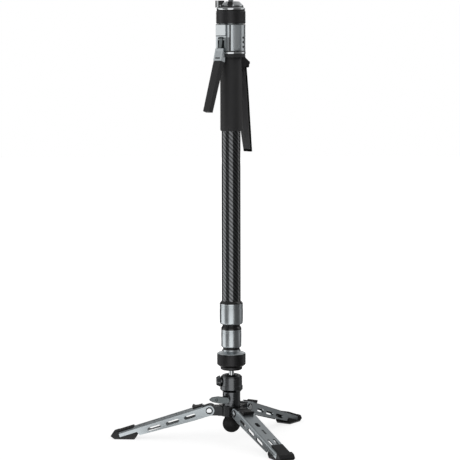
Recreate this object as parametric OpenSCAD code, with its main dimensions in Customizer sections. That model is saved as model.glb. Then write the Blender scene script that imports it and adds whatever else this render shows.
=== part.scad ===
// Camera monopod: a carbon column in three sections, on a ball joint and three folding legs.
// Millimetres. The origin is on the ground on the column's axis, +Z is up,
// the photo looks along +Y and its right-hand side is +X.

/* [Telescoping tubes] */
// Outer diameter of the main tube
tube_d = 32; // [30:0.5:34]
// Wall of every tube
tube_wall = 1.6; // [1.2:0.1:2]
// Room between one tube and the next, filled by a bush
tube_gap = 1.4; // [1.2:0.1:1.8]
// Bare length of the main tube between its collar and the grip
shaft_show = 288.5; // [220:0.5:360]
// Length of the part of a brake block that sits in its tube
brake_spigot_h = 15; // [10:1:20]
// Length of the part of a brake block that slides in the next tube
brake_h = 18; // [12:1:24]
// Diameter of the release rod
rod_d = 6; // [4:0.5:7]
// Length of the release rod
rod_len = 350; // [250:10:400]

/* [Head] */
// Diameter of the housing and of the rings above it
head_d = 49.2; // [46:0.2:54]
// Height of the housing
housing_h = 46; // [42:0.5:60]
// Height of the trim ring under the housing
trim_h = 3.4; // [2:0.2:6]
// How far the trim ring stands out from the housing
trim_step = 0.8; // [0.2:0.2:2]
// Height of the lock ring
lock_ring_h = 22; // [16:0.5:30]
// Wall of the lock ring
lock_ring_wall = 4.3; // [3:0.1:6]
// Height of the bead ring
seat_ring_h = 4.8; // [3:0.2:8]
// Diameter of the head plate
plate_d = 42; // [36:0.5:45]
// Height of the head plate
plate_h = 10; // [8:0.5:14]
// Width of the plate's locating lug
lug_w = 18; // [12:0.5:24]
// Reach of the locating lug from the axis
lug_reach = 25.9; // [23:0.1:30]
// Radius of the lug's corners
lug_round = 6; // [2:0.5:6]
// How far the lug stands above the plate
lug_step = 1.5; // [0.5:0.5:3]
// Diameter of the camera stud
stud_d = 9.52; // [6.3:0.01:10]
// Free length of the camera stud
stud_h = 9.5; // [6:0.5:12]
// Diameter of the housing screw heads
screw_d = 2.8; // [2:0.1:3.4]
// Distance between two housing screws
screw_pitch = 7.7; // [5:0.1:9]

/* [Grip and lever] */
// Diameter of the grip sleeve
grip_d = 36.2; // [35:0.2:38]
// Length of the grip sleeve
grip_h = 129.3; // [90:0.5:150]
// Direction of the lever around the column
lever_turn = 228; // [210:1:250]
// Width of the lever bracket on the housing
bracket_w = 23; // [21.5:0.5:28]
// Width of the room for the lever in the housing
room_w = 14.8; // [12:0.2:15.4]
// Width of the lever at its hinge
eye_w = 7; // [6:0.2:10]
// Width of the lever's knuckle
knuckle_w = 17.5; // [15.5:0.5:19]
// Height of the lever's hinge above the housing's lower face
pin_rise = 20.8; // [19:0.2:24]
// Diameter of the hinge pin
pin_d = 4; // [3:0.2:5]
// Lean of the lever arm from the column
lever_lean = 18.3; // [17:0.1:24]
// Depth of the lever's knuckle below its hinge
knuckle_drop = 37; // [34:0.5:40]
// Length of the lever arm
lever_len = 88; // [60:1:110]
// Width of the rubber on the lever at its upper end
lever_grip_w = 17; // [13:0.2:17.4]
// Width of the rubber on the lever at its lower end
lever_tip_w = 15.6; // [11:0.2:16]
// Thickness of the lever's metal core
core_t = 4; // [3:0.2:5]

/* [Strap] */
// Direction of the strap around the column
strap_turn = 35; // [20:1:50]
// Width of the strap
strap_w = 21; // [16:0.5:25]
// Thickness of the strap
strap_t = 3; // [2:0.1:4]
// Length of the strap below its bar
strap_drop = 150; // [100:1:180]
// Distance of the strap's lower end from the axis
strap_reach = 35.2; // [33:0.2:42]
// Diameter of the strap bar
bar_d = 3.6; // [3:0.2:5]

/* [Collars] */
// Diameter of the upper collar
upper_collar_d = 39.5; // [37:0.5:44]
// Height of the upper collar
upper_collar_h = 35.4; // [28:0.2:44]
// Height of the flare above the upper collar
flare_h = 4.4; // [2:0.2:8]
// Height of the upper bush's lip
upper_lip_h = 2.8; // [2:0.2:5]
// Diameter of the middle collar
middle_collar_d = 34.6; // [32:0.2:38]
// Height of the middle collar
middle_collar_h = 30.3; // [22:0.1:36]
// Height of the bevel above the middle collar
bevel_h = 6; // [3:0.2:10]
// Height of the middle bush's lip
middle_lip_h = 3.3; // [3:0.1:8]
// Width of the engraved lines in the collars
line_w = 0.8; // [0.4:0.1:1.2]

/* [Base joint] */
// Diameter of the base knob
base_knob_d = 48.8; // [44:0.2:52]
// Height of the base knob
base_knob_h = 29.4; // [24:0.1:34]
// Diameter of the ring under the base knob
knob_ring_d = 37; // [33:0.5:42]
// Height of the ring under the base knob
knob_ring_h = 5.3; // [4:0.1:8]
// Diameter of the ball
ball_d = 22; // [20:0.2:22.6]
// Diameter of the ball's stem
stem_d = 9.3; // [7:0.1:9.6]
// Bare length of the stem
stem_show = 8; // [7:0.1:14]
// Diameter of the ball housing at its foot
cup_d = 38.8; // [37:0.2:42]
// Width of the raised pad on the front of the ball housing
pad_w = 18; // [12:0.5:20]
// Diameter of the ball liner
seat_d = 28; // [27:0.2:30]
// Direction of the locking knob around the column
knob_turn = 189; // [180:1:200]
// Diameter of the locking knob at its wide end
knob_d = 19.2; // [15:0.2:20]
// Diameter of the locking knob at its free end
knob_tip_d = 13.2; // [10:0.2:15]
// Length of the locking knob
knob_len = 6.4; // [5:0.1:8]
// Diameter of the locking screw
lock_screw_d = 4.2; // [3:0.2:4.6]
// Height of the locking knob above the ball's middle
knob_rise = 4.2; // [3:0.1:4.3]

/* [Neck] */
// Diameter of the pan clamp
clamp_d = 30.4; // [28:0.2:33]
// Height of the pan clamp
clamp_h = 23.5; // [21:0.5:28]
// Diameter of the spigot in the pan clamp
spigot_d = 20; // [16:0.2:21]
// Height of the wing lever's screw above the hub
wing_rise = 12; // [11:0.1:12.6]
// Sideways place of the wing lever's screw
wing_side = 8.8; // [8:0.1:10]
// Reach of the wing lever from its screw
wing_len = 29; // [20:0.5:34]
// Thickness of the wing lever
wing_t = 5; // [3:0.2:6]

/* [Legs] */
// Direction of the left leg around the column
leg_turn = 176; // [170:1:182]
// Distance of the leg hinges from the axis
hinge_r = 37; // [36:0.5:42]
// Height of the leg hinges above the ground
hinge_z = 51.5; // [50:0.5:56]
// Slope of the opened legs
leg_slope = 18; // [17:0.1:18.6]
// Length of a leg from its hinge to the end of its metal
leg_len = 161; // [150:1:166]
// Outer width of a leg
leg_w = 27; // [24:0.5:30]
// Wall of a leg
leg_wall = 2.2; // [1.6:0.1:2.6]
// Height of a leg's upper face above its hinge line
leg_top = 10.4; // [9.8:0.2:11.4]
// Radius of a leg's round hinge end
leg_end_r = 8.7; // [8:0.1:9.4]
// Outer radius of a leg's bends
bend_r = 3; // [2.6:0.1:4]
// Height of the side slots
slot_h = 6; // [4:0.2:8]
// Diameter of the hinge bolts
bolt_d = 6; // [5:0.2:8]
// Diameter of the hinge bolts' heads
bolt_head_d = 11.4; // [9:0.2:13]
// Width of a latch
latch_w = 20; // [16:0.5:22]
// Travel of a latch
latch_travel = 3; // [2:0.1:3.2]
// Length of a leg's end inside its rubber foot
foot_cover = 28; // [24:0.5:34]
// Thickness of the rubber over a leg's end
foot_cap = 2.7; // [1.5:0.1:4]
// Rubber beyond the end of a leg's metal
foot_nose = 15; // [10:0.5:18]
// Width of the rubber on top of a leg
cap_w = 21; // [16:0.5:21]
// How far the rubber stands out at a leg's sides
foot_step = 0.5; // [0.3:0.1:1]

/* [Hub] */
// Radius of the hub
hub_r = 19; // [17:0.5:21]
// Height of the hub above the hinges
hub_rise = 8; // [7:0.2:9]
// Depth of the hub below the hinges
hub_drop = 9.5; // [9.1:0.1:12]
// Diameter of the bulb foot
bulb_d = 30.6; // [26:0.2:34]
// Height of the bulb foot's middle below the hub
bulb_drop = 14.4; // [11:0.2:17]
// Diameter of the bulb foot's neck
bulb_neck_d = 22.8; // [18:0.2:25]

/* [Fits] */
// Radial play of a running fit
slip = 0.05; // [0.02:0.01:0.1]
// Room between pieces that move past each other
gap = 0.4; // [0.3:0.05:0.5]

/* [Hidden] */
$fn = 72;
// A cut runs past the face it opens by this much
over = 1;

// Heights, stacked from the ground up
hub_bottom = hinge_z - hub_drop;
hub_top = hinge_z + hub_rise;
clamp_top = hub_top + clamp_h;
ball_z = clamp_top + 14.4;
cup_floor = ball_z - ball_d / 2 - 2 * gap;
seat_top = ball_z + 6.5;
retain_bottom = seat_top + gap;
cup_top = ball_z + 11.5;
retain_top = cup_top + 4;
coupling_bottom = retain_top + stem_show;
knob_bottom = coupling_bottom + knob_ring_h + gap;
knob_top = knob_bottom + base_knob_h;
middle_lip = knob_top + gap;
middle_bottom = middle_lip + middle_lip_h;
bevel_bottom = middle_bottom + middle_collar_h;
bevel_top = bevel_bottom + bevel_h;
upper_lip = bevel_top + gap;
upper_bottom = upper_lip + upper_lip_h;
flare_bottom = upper_bottom + upper_collar_h;
flare_top = flare_bottom + flare_h;
grip_bottom = flare_top + shaft_show;
grip_top = grip_bottom + grip_h;
housing_bottom = grip_top + trim_h;
housing_top = housing_bottom + housing_h;
lock_bottom = housing_top + 2 * gap;
lock_top = lock_bottom + lock_ring_h;
seat_bottom = lock_top + gap;
plate_bottom = seat_bottom + seat_ring_h;
plate_top = plate_bottom + plate_h;

// Radii of the column
main_r = tube_d / 2;
main_in = main_r - tube_wall;
mid_r = main_in - tube_gap;
mid_in = mid_r - tube_wall;
low_r = mid_in - tube_gap;
low_in = low_r - tube_wall;
head_r = head_d / 2;
grip_r = grip_d / 2;
neck_r = head_r - lock_ring_wall - slip;
ball_r = ball_d / 2;
cup_r = cup_d / 2;
clamp_r = clamp_d / 2;
knob_r = base_knob_d / 2;
plug_r = low_r + 2;

// Places along the column's inside
main_top = housing_top - 6;
middle_top = housing_bottom + pin_rise - 9 - brake_h;
lower_top = middle_top - brake_spigot_h - 6 - brake_h;
rod_top = housing_bottom + pin_rise + 7;
plug_floor = knob_bottom + 10;
bush_h = 24;

// Lever places in its own plane: distance from the axis, height
pin_at = [main_r + 6, housing_bottom + pin_rise];
eye_r = 3.6;
knuckle_end = pin_at + [8, -knuckle_drop];
bracket_d = head_r + gap / 2;
pocket_d = main_r + 1;
rod_arm = 12;

// Strap places in its own plane
bar_at = [grip_r + 8.9, grip_top - 14.8];

leg_turns = [leg_turn, leg_turn - 120, leg_turn - 240];
web_start = 10;
latch_stem = web_start + 1.5 + gap;
foot_start = leg_len - foot_cover;
foot_tip = leg_len + foot_nose;

// Points of an arc, in degrees
function arc(middle, r, from, to, steps = 6) =
    [for (i = [0 : steps])
        middle + r * [cos(from + (to - from) * i / steps), sin(from + (to - from) * i / steps)]];

// Points of engraved lines in a collar of radius r, below its upper edge
function engraved(r, top, lines) =
    [for (line = [lines : -1 : 1])
        for (at = [[r, 0], [r - 0.5, 0], [r - 0.5, line_w], [r, line_w]])
            [at[0], top - 0.4 - 2.6 * line + at[1]]];

// A point on the lever arm: across it, and along it from the knuckle
function on_arm(across, along) =
    knuckle_end + [across * cos(lever_lean) + along * sin(lever_lean),
                   across * sin(lever_lean) - along * cos(lever_lean)];

// Height of the ground in a leg's own plane
function ground(along) = (along * sin(leg_slope) - hinge_z) / cos(leg_slope);

// Turned piece from its half section
module turned(section) {
    rotate_extrude($fn = 96)
        polygon(section);
}

module pipe(outer_r, inner_r, bottom, top) {
    translate([0, 0, bottom])
        difference() {
            cylinder(r = outer_r, h = top - bottom);
            translate([0, 0, -over])
                cylinder(r = inner_r, h = top - bottom + 2 * over);
        }
}

module at_turn(degrees) {
    rotate([0, 0, degrees])
        children();
}

// Flat outline drawn in the radial plane and thickened sideways
module side_slab(thickness, middle = 0) {
    translate([0, middle + thickness / 2, 0])
        rotate([90, 0, 0])
            linear_extrude(thickness)
                children();
}

// Flat outline drawn across the radius and thickened along it
module front_slab(from, to) {
    translate([from, 0, 0])
        rotate([90, 0, 90])
            linear_extrude(to - from)
                children();
}

module stadium(length, width) {
    square([length - width, width], center = true);
    for (side = [-1, 1])
        translate([side * (length - width) / 2, 0])
            circle(d = width);
}

// Head

// Stud that screws into the camera, on a thinner root in the plate
module camera_stud() {
    r = stud_d / 2;
    edge = 0.8;
    color("silver")
        turned([[0, plate_bottom], [r - edge, plate_bottom], [r - edge, plate_top + slip],
                [r, plate_top + slip], [r, plate_top + stud_h - edge],
                [r - edge, plate_top + stud_h], [0, plate_top + stud_h]]);
}

// Polished quick-release plate with its locating lug
module head_plate() {
    plate_r = plate_d / 2;
    color("gainsboro")
        difference() {
            union() {
                turned([[0, plate_bottom], [plate_r, plate_bottom], [plate_r, plate_bottom + plate_h * 0.4],
                        [plate_r - 6, plate_top], [0, plate_top]]);
                translate([0, 0, plate_bottom])
                    linear_extrude(plate_h + lug_step)
                        hull() {
                            for (side = [-1, 1])
                                translate([lug_round - lug_reach, side * (lug_w / 2 - lug_round)])
                                    circle(r = lug_round);
                            translate([-12, -lug_w / 2])
                                square([1, lug_w]);
                        }
            }
            side_slab(2 * plate_r)
                polygon([[-11.1, plate_top + over], [-8.4, plate_top + over], [-9.6, plate_top - 3]]);
            translate([0, 0, plate_bottom - over])
                cylinder(d = stud_d - 1.6 + 2 * slip, h = plate_h + 2 * over);
        }
}

// Bead under the plate
module seat_ring() {
    half = seat_ring_h / 2;
    color("gainsboro")
        turned(concat([[0, seat_bottom], [head_r - half, seat_bottom]],
                      arc([head_r - half, seat_bottom + half], half, -75, 75),
                      [[head_r - half, plate_bottom], [0, plate_bottom]]));
}

// Ring that locks the plate
module lock_ring() {
    edge = 1.2;
    inner_r = head_r - lock_ring_wall;
    color([0.12, 0.12, 0.13])
        turned([[inner_r, lock_bottom], [head_r - edge, lock_bottom], [head_r, lock_bottom + edge],
                [head_r, lock_top - edge], [head_r - edge, lock_top], [inner_r, lock_top]]);
}

// Housing with the lever bracket, a groove and a recessed panel
module head_housing() {
    panel_w = 13.2;
    panel_floor = head_r - 1.1;
    color("lightgrey")
        difference() {
            union() {
                translate([0, 0, housing_bottom])
                    cylinder(r = head_r, h = housing_h);
                translate([0, 0, housing_bottom])
                    cylinder(r = neck_r, h = seat_bottom - housing_bottom);
                at_turn(lever_turn)
                    translate([0, -bracket_w / 2, housing_bottom])
                        cube([bracket_d, bracket_w, housing_h]);
            }
            // seat of the main tube
            translate([0, 0, housing_bottom - over])
                cylinder(r = main_r + slip, h = main_top + slip - housing_bottom + over);
            at_turn(lever_turn)
                lever_room();
            // groove beside the bracket
            at_turn(lever_turn + 39)
                translate([head_r - 1.5, -1.3, housing_bottom - over])
                    cube([3, 2.6, housing_h + over]);
            // recessed panel with a round lower end
            at_turn(lever_turn + 66)
                difference() {
                    front_slab(panel_floor - 2, head_r + over)
                        union() {
                            translate([-panel_w / 2, housing_bottom + 10])
                                square([panel_w, housing_h - 11]);
                            translate([0, housing_bottom + 10])
                                circle(d = panel_w);
                        }
                    cylinder(r = panel_floor, h = plate_top);
                }
            at_turn(lever_turn + 99)
                screw_row(screw_d + 2 * slip, head_r + over);
        }
}

// Space in the housing in which the lever swings
module lever_room() {
    room_top = pin_at[1] + eye_r + gap;
    low_w = knuckle_w + 3 * gap;
    front_slab(pocket_d, bracket_d + 10)
        union() {
            translate([-room_w / 2, housing_bottom - trim_h - over])
                square([room_w, room_top - 4 - housing_bottom + trim_h + over]);
            hull()
                for (side = [-1, 1])
                    translate([side * (room_w / 2 - 4), room_top - 4])
                        circle(r = 4);
            translate([-low_w / 2, housing_bottom - trim_h - over])
                square([low_w, pin_at[1] - 14 - housing_bottom + trim_h + over]);
        }
    lever_window();
    translate([pin_at[0], 0, pin_at[1]])
        rotate([90, 0, 0])
            cylinder(d = pin_d + 2 * slip, h = bracket_w - 3, center = true);
}

// Opening through which the lever's finger reaches the rod
module lever_window() {
    front_slab(0, pocket_d + over)
        translate([-3.6, pin_at[1] - 4])
            square([7.2, 9]);
}

// A row of three screws along the housing
module screw_row(d, end) {
    for (step = [0 : 2])
        translate([head_r - 4, 0, housing_bottom + 8.4 + step * screw_pitch])
            rotate([0, 90, 0])
                cylinder(d = d, h = end - head_r + 4, $fn = 24);
}

module housing_screws() {
    color([0.15, 0.15, 0.15])
        at_turn(lever_turn + 99)
            screw_row(screw_d, head_r - 0.6);
}

// Flat plate over the lever's hinge
module hinge_cover() {
    low = pin_at[1] + eye_r + gap + 2.4;
    color("gainsboro")
        at_turn(lever_turn)
            front_slab(bracket_d + slip, bracket_d + 1.2)
                translate([-bracket_w / 2 + 0.6, low])
                    square([bracket_w - 1.2, housing_top - 1 - low]);
}

// Thin ring under the housing, open where the lever passes
module trim_ring() {
    color("gainsboro")
        difference() {
            pipe(head_r + trim_step, main_r + slip, grip_top, housing_bottom);
            at_turn(lever_turn)
                lever_room();
        }
}

// Lever

module lever_pin() {
    color("silver")
        at_turn(lever_turn)
            translate([pin_at[0], 0, pin_at[1]])
                rotate([90, 0, 0])
                    cylinder(d = pin_d, h = bracket_w - 3 - 2 * slip, center = true);
}

// Hinged lever: eye, neck, knuckle, core of the arm, and the finger that lifts the rod
module squeeze_lever() {
    color("lightgrey")
        at_turn(lever_turn)
            difference() {
                union() {
                    // eye and neck
                    side_slab(eye_w)
                        union() {
                            translate(pin_at)
                                circle(r = eye_r);
                            polygon([pin_at + [-3.4, 0], pin_at + [-1.5, -16], pin_at + [7, -16],
                                     pin_at + [5, -12], pin_at + [3.2, 0]]);
                        }
                    side_slab(knuckle_w)
                        polygon([pin_at + [-1.5, -15], on_arm(-4.8, -0.2), on_arm(4.8, -0.2),
                                 pin_at + [7, -15]]);
                    side_slab(knuckle_w - 8)
                        polygon([on_arm(-core_t / 2, -1), on_arm(-core_t / 2, lever_len - 4),
                                 on_arm(core_t / 2, lever_len - 4), on_arm(core_t / 2, -1)]);
                    side_slab(5.6)
                        polygon([pin_at + [-rod_arm, -1.6], pin_at + [0, -1.8], pin_at + [0, 1.8],
                                 pin_at + [-rod_arm, 1.6]]);
                }
                // hole for the pin
                translate([pin_at[0], 0, pin_at[1]])
                    rotate([90, 0, 0])
                        cylinder(d = pin_d + 2 * slip, h = bracket_w, center = true);
                // shallow panel in the knuckle's outer face
                translate([pin_at[0] + 10.4, 0, pin_at[1] - 26])
                    rotate([0, -14.5, 0])
                        translate([-0.7, -knuckle_w / 2 + 3.5, -7])
                            cube([4, knuckle_w - 7, 14]);
            }
}

// Rubber over the lever's arm
module lever_grip() {
    top_t = 4.8;
    tip_t = 4.3;
    color([0.14, 0.14, 0.15])
        at_turn(lever_turn)
            difference() {
                intersection() {
                    side_slab(lever_grip_w + over)
                        polygon([on_arm(-top_t, 0), on_arm(-tip_t, lever_len), on_arm(tip_t, lever_len),
                                 on_arm(top_t, 0)]);
                    front_slab(0, 2 * knuckle_end[0] + lever_len)
                        polygon([[-lever_grip_w / 2, knuckle_end[1] + 5],
                                 [lever_grip_w / 2, knuckle_end[1] + 5],
                                 [lever_tip_w / 2, knuckle_end[1] - lever_len],
                                 [-lever_tip_w / 2, knuckle_end[1] - lever_len]]);
                }
                side_slab(knuckle_w - 8 + 2 * slip)
                    polygon([on_arm(-core_t / 2 - slip, -1), on_arm(-core_t / 2 - slip, lever_len - 4 + slip),
                             on_arm(core_t / 2 + slip, lever_len - 4 + slip), on_arm(core_t / 2 + slip, -1)]);
            }
}

// Rod that carries the lever's movement down the column
module release_rod() {
    cap_r = main_in - 2;
    cap_low = pin_at[1] + 1.6 + gap;
    color("silver") {
        translate([0, 0, rod_top - rod_len])
            cylinder(d = rod_d, h = rod_len);
        translate([0, 0, cap_low])
            cylinder(r = cap_r, h = rod_top - cap_low);
    }
}

// Grip and strap

module grip_sleeve() {
    edge = 1.2;
    color([0.13, 0.13, 0.13])
        turned([[main_r + slip, grip_bottom], [grip_r - edge, grip_bottom], [grip_r, grip_bottom + edge],
                [grip_r, grip_top], [main_r + slip, grip_top]]);
}

// Base on the grip with two cheeks and the bar that holds the strap
module strap_anchor() {
    base_w = strap_w + 6;
    base_d = grip_r + 2.6;
    color([0.1, 0.1, 0.1])
        at_turn(strap_turn) {
            difference() {
                translate([0, -base_w / 2, bar_at[1] - 8])
                    cube([base_d, base_w, 18]);
                translate([0, 0, grip_bottom])
                    cylinder(r = grip_r + slip, h = grip_h + over);
                translate([-over, -base_w, bar_at[1] - 9])
                    cube([over + 8, 2 * base_w, 20]);
            }
            for (side = [-1, 1])
                side_slab(2, side * (strap_w / 2 + gap + 1))
                    union() {
                        translate(bar_at)
                            circle(r = bar_d / 2 + 1.6);
                        polygon([[base_d - 0.5, bar_at[1] + 9.5], bar_at + [1, bar_d / 2 + 1.3],
                                 bar_at + [1, -bar_d / 2 - 1.3], [base_d - 0.5, bar_at[1] - 7.5]]);
                    }
            translate([bar_at[0], 0, bar_at[1]])
                rotate([90, 0, 0])
                    cylinder(d = bar_d, h = strap_w + 4 * gap, center = true, $fn = 32);
        }
}

// Strap that hangs from a loop around the bar
module hand_strap() {
    loop_in = bar_d / 2 + 2 * slip;
    loop_out = loop_in + strap_t;
    bend = bar_at + [2.4, -strap_drop * 0.5];
    foot = [strap_reach, bar_at[1] - strap_drop];
    color([0.18, 0.18, 0.18])
        at_turn(strap_turn)
            side_slab(strap_w)
                difference() {
                    union() {
                        translate(bar_at)
                            circle(r = loop_out);
                        polygon([bar_at + [-loop_out, 0], bar_at + [-loop_out + 0.6, -12],
                                 bend + [-strap_t / 2, 0], foot + [-strap_t / 2, -1],
                                 foot + [strap_t / 2, 1], bend + [strap_t / 2, 0],
                                 bar_at + [-loop_out + strap_t + 0.6, -12], bar_at + [-loop_in, 0]]);
                    }
                    translate(bar_at)
                        circle(r = loop_in);
                }
}

// Telescoping column

module main_tube() {
    color([0.2, 0.2, 0.22])
        difference() {
            pipe(main_r, main_in, upper_bottom + over, main_top);
            at_turn(lever_turn)
                lever_window();
        }
}

// Collar with a round lower edge and engraved lines below its upper edge
module upper_collar() {
    r = upper_collar_d / 2;
    edge = r - main_r - 0.6;
    color("lightgrey")
        turned(concat([[main_r + slip, upper_bottom]],
                      arc([r - edge, upper_bottom + edge], edge, -90, 0),
                      engraved(r, flare_bottom, 3),
                      [[r, flare_bottom], [main_r + slip, flare_bottom]]));
}

module upper_flare() {
    r = upper_collar_d / 2;
    color("lightgrey")
        turned([[main_r + slip, flare_bottom], [r, flare_bottom], [r, flare_bottom + 0.8],
                [main_r + 0.8, flare_top], [main_r + slip, flare_top]]);
}

// Bush that guides the middle tube, with the lip seen under the collar
module upper_bush() {
    color([0.16, 0.16, 0.16])
        turned([[mid_r + slip, upper_lip], [main_r - 1, upper_lip], [main_r - 1, upper_bottom],
                [main_in - slip, upper_bottom], [main_in - slip, upper_bottom + bush_h],
                [mid_r + slip, upper_bottom + bush_h]]);
}

module middle_tube() {
    color([0.2, 0.2, 0.22])
        pipe(mid_r, mid_in, middle_bottom + over, middle_top);
}

module middle_collar() {
    r = middle_collar_d / 2;
    edge = 2.5;
    color("lightgrey")
        turned(concat([[mid_r + slip, middle_bottom]],
                      arc([r - edge, middle_bottom + edge], edge, -90, 0),
                      engraved(r, bevel_bottom, 2),
                      [[r, bevel_bottom], [mid_r + slip, bevel_bottom]]));
}

module middle_bevel() {
    r = middle_collar_d / 2;
    color("lightgrey")
        turned([[mid_r + slip, bevel_bottom], [r, bevel_bottom], [r, bevel_bottom + 2.4],
                [r - 2, bevel_top], [mid_r + slip, bevel_top]]);
}

module middle_bush() {
    color([0.16, 0.16, 0.16])
        turned([[low_r + slip, middle_lip], [mid_r + 1.1, middle_lip], [mid_r + 1.1, middle_bottom],
                [mid_in - slip, middle_bottom], [mid_in - slip, middle_bottom + bush_h],
                [low_r + slip, middle_bottom + bush_h]]);
}

// Block at a tube's upper end that the rod works on
module brake(tube_in, next_in, top) {
    hole_r = rod_d / 2 + 0.5;
    turned([[hole_r, top - brake_spigot_h], [tube_in - slip, top - brake_spigot_h], [tube_in - slip, top],
            [next_in - slip, top], [next_in - slip, top + brake_h], [hole_r, top + brake_h]]);
}

module middle_brake() {
    color("dimgray")
        brake(mid_in, main_in, middle_top);
}

module lower_tube() {
    color([0.2, 0.2, 0.22])
        pipe(low_r, low_in, plug_floor, lower_top);
}

module lower_brake() {
    color("dimgray")
        brake(low_in, mid_in, lower_top);
}

// Cup that holds the lower tube and screws onto the ball's stem
module tube_plug() {
    bottom = coupling_bottom + knob_ring_h;
    stem_top = bottom + 7;
    color("dimgray")
        turned([[stem_d / 2 + slip, bottom], [plug_r, bottom], [plug_r, knob_top],
                [low_r + slip, knob_top], [low_r + slip, plug_floor - slip], [0, plug_floor - slip],
                [0, stem_top + slip], [stem_d / 2 + slip, stem_top + slip]]);
}

// Base joint

// Coupling ring that is turned to take the column off its base
module base_knob() {
    color([0.12, 0.12, 0.13])
        turned([[plug_r + slip, knob_bottom], [knob_r - 4.9, knob_bottom], [knob_r, knob_bottom + 3.5],
                [knob_r, knob_top - 7.2], [knob_r - 1.6, knob_top - 5.9], [mid_r + 2.8, knob_top - 3],
                [mid_r + 2.2, knob_top], [plug_r + slip, knob_top]]);
}

module knob_ring() {
    r = knob_ring_d / 2;
    color([0.15, 0.15, 0.15])
        turned([[stem_d / 2 + slip, coupling_bottom], [r - 1, coupling_bottom], [r, coupling_bottom + 1],
                [r, coupling_bottom + knob_ring_h], [stem_d / 2 + slip, coupling_bottom + knob_ring_h]]);
}

module ball_stem() {
    color("gainsboro") {
        translate([0, 0, ball_z])
            sphere(r = ball_r);
        translate([0, 0, ball_z])
            cylinder(d = stem_d, h = coupling_bottom + knob_ring_h + 7 - ball_z);
    }
}

// Liner that grips the ball
module ball_seat() {
    color("whitesmoke")
        difference() {
            translate([0, 0, cup_floor + gap])
                cylinder(d = seat_d, h = seat_top - cup_floor - gap);
            translate([0, 0, ball_z])
                sphere(r = ball_r + slip);
            translate([0, 0, cup_floor])
                cylinder(r = ball_r - 5, h = 10);
        }
}

// Cup around the liner, with its spigot and the boss for the locking knob
module ball_housing() {
    waist_r = cup_r - 1;
    boss_r = min(knob_d / 2 - 1.5, cup_top - ball_z - knob_rise - gap);
    color([0.5, 0.51, 0.53])
        difference() {
            union() {
                turned([[0, clamp_top - clamp_h + 2], [spigot_d / 2 - slip, clamp_top - clamp_h + 2],
                        [spigot_d / 2 - slip, clamp_top + gap], [clamp_r + 0.4, clamp_top + gap],
                        [cup_r, clamp_top + 4.4], [cup_r, clamp_top + 10], [waist_r, clamp_top + 12],
                        [waist_r, cup_top], [0, cup_top]]);
                // raised pad with a round lower end
                at_turn(knob_turn + 79)
                    intersection() {
                        pipe(cup_r + 0.4, waist_r - over, clamp_top + 5, cup_top - 1);
                        front_slab(0, cup_d)
                            union() {
                                translate([0, clamp_top + 5 + pad_w / 2])
                                    circle(d = pad_w);
                                translate([-pad_w / 2, clamp_top + 5 + pad_w / 2])
                                    square([pad_w, ball_d]);
                            }
                    }
                at_turn(knob_turn)
                    translate([seat_d / 2 + 2, 0, ball_z + knob_rise])
                        rotate([0, 90, 0])
                            cylinder(r = boss_r, h = cup_r - gap / 2 - seat_d / 2 - 2);
            }
            translate([0, 0, cup_floor])
                cylinder(d = seat_d + 2 * slip, h = cup_top);
            translate([0, 0, retain_bottom])
                cylinder(d = seat_d + 2 + 2 * slip, h = cup_top);
            at_turn(knob_turn)
                translate([0, 0, ball_z + knob_rise])
                    rotate([0, 90, 0])
                        cylinder(d = lock_screw_d + 2 * slip, h = cup_r + over);
        }
}

// Ring screwed in over the liner
module retaining_ring() {
    rim = seat_d / 2 + 1;
    color([0.5, 0.51, 0.53])
        turned([[ball_r - 2.1, retain_bottom], [rim, retain_bottom], [rim, cup_top + slip],
                [rim + 2.6, cup_top + slip], [rim + 2, cup_top + 1.6], [rim - 0.4, retain_top - 0.5],
                [rim - 2.4, retain_top], [ball_r + 1.1, retain_top]]);
}

// Knob that tightens the ball
module locking_knob() {
    start = cup_r + gap;
    color([0.45, 0.46, 0.48])
        at_turn(knob_turn)
            translate([start, 0, ball_z + knob_rise])
                rotate([0, 90, 0])
                    difference() {
                        rotate_extrude()
                            polygon([[0, 0], [knob_d / 2 - 0.6, 0], [knob_d / 2, 0.6],
                                     [knob_tip_d / 2 + 0.6, knob_len - 0.5], [knob_tip_d / 2, knob_len],
                                     [0, knob_len]]);
                        translate([0, 0, -over])
                            cylinder(d = lock_screw_d + 2 * slip, h = over + 4);
                    }
}

module locking_screw() {
    tip = seat_d / 2 + gap;
    color("silver")
        at_turn(knob_turn)
            translate([tip, 0, ball_z + knob_rise])
                rotate([0, 90, 0])
                    cylinder(d = lock_screw_d, h = cup_r + gap + 4 - slip - tip);
}

// Neck

// Split ring around the spigot, with the ear for the wing screw
module pan_clamp() {
    wing_z = hub_top + wing_rise;
    color([0.5, 0.51, 0.53])
        difference() {
            union() {
                translate([0, 0, hub_top])
                    cylinder(r = clamp_r, h = clamp_h);
                translate([-wing_side - 5, -clamp_r, wing_z - 5.5])
                    cube([10, clamp_r, 11]);
            }
            translate([0, 0, hub_top - over])
                cylinder(d = spigot_d, h = clamp_h + 2 * over);
            // window in the front
            translate([-wing_side - 3.4, -clamp_r - over, wing_z + 3.8])
                cube([6.8, 5, clamp_h - wing_rise - 5.8]);
            // line around the ring
            pipe(clamp_r + 2 * over, clamp_r - 0.6, hub_top + 5, hub_top + 6);
            translate([-wing_side, 0, wing_z])
                rotate([90, 0, 0])
                    cylinder(d = 5 + 2 * slip, h = 2 * clamp_r);
        }
}

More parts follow.
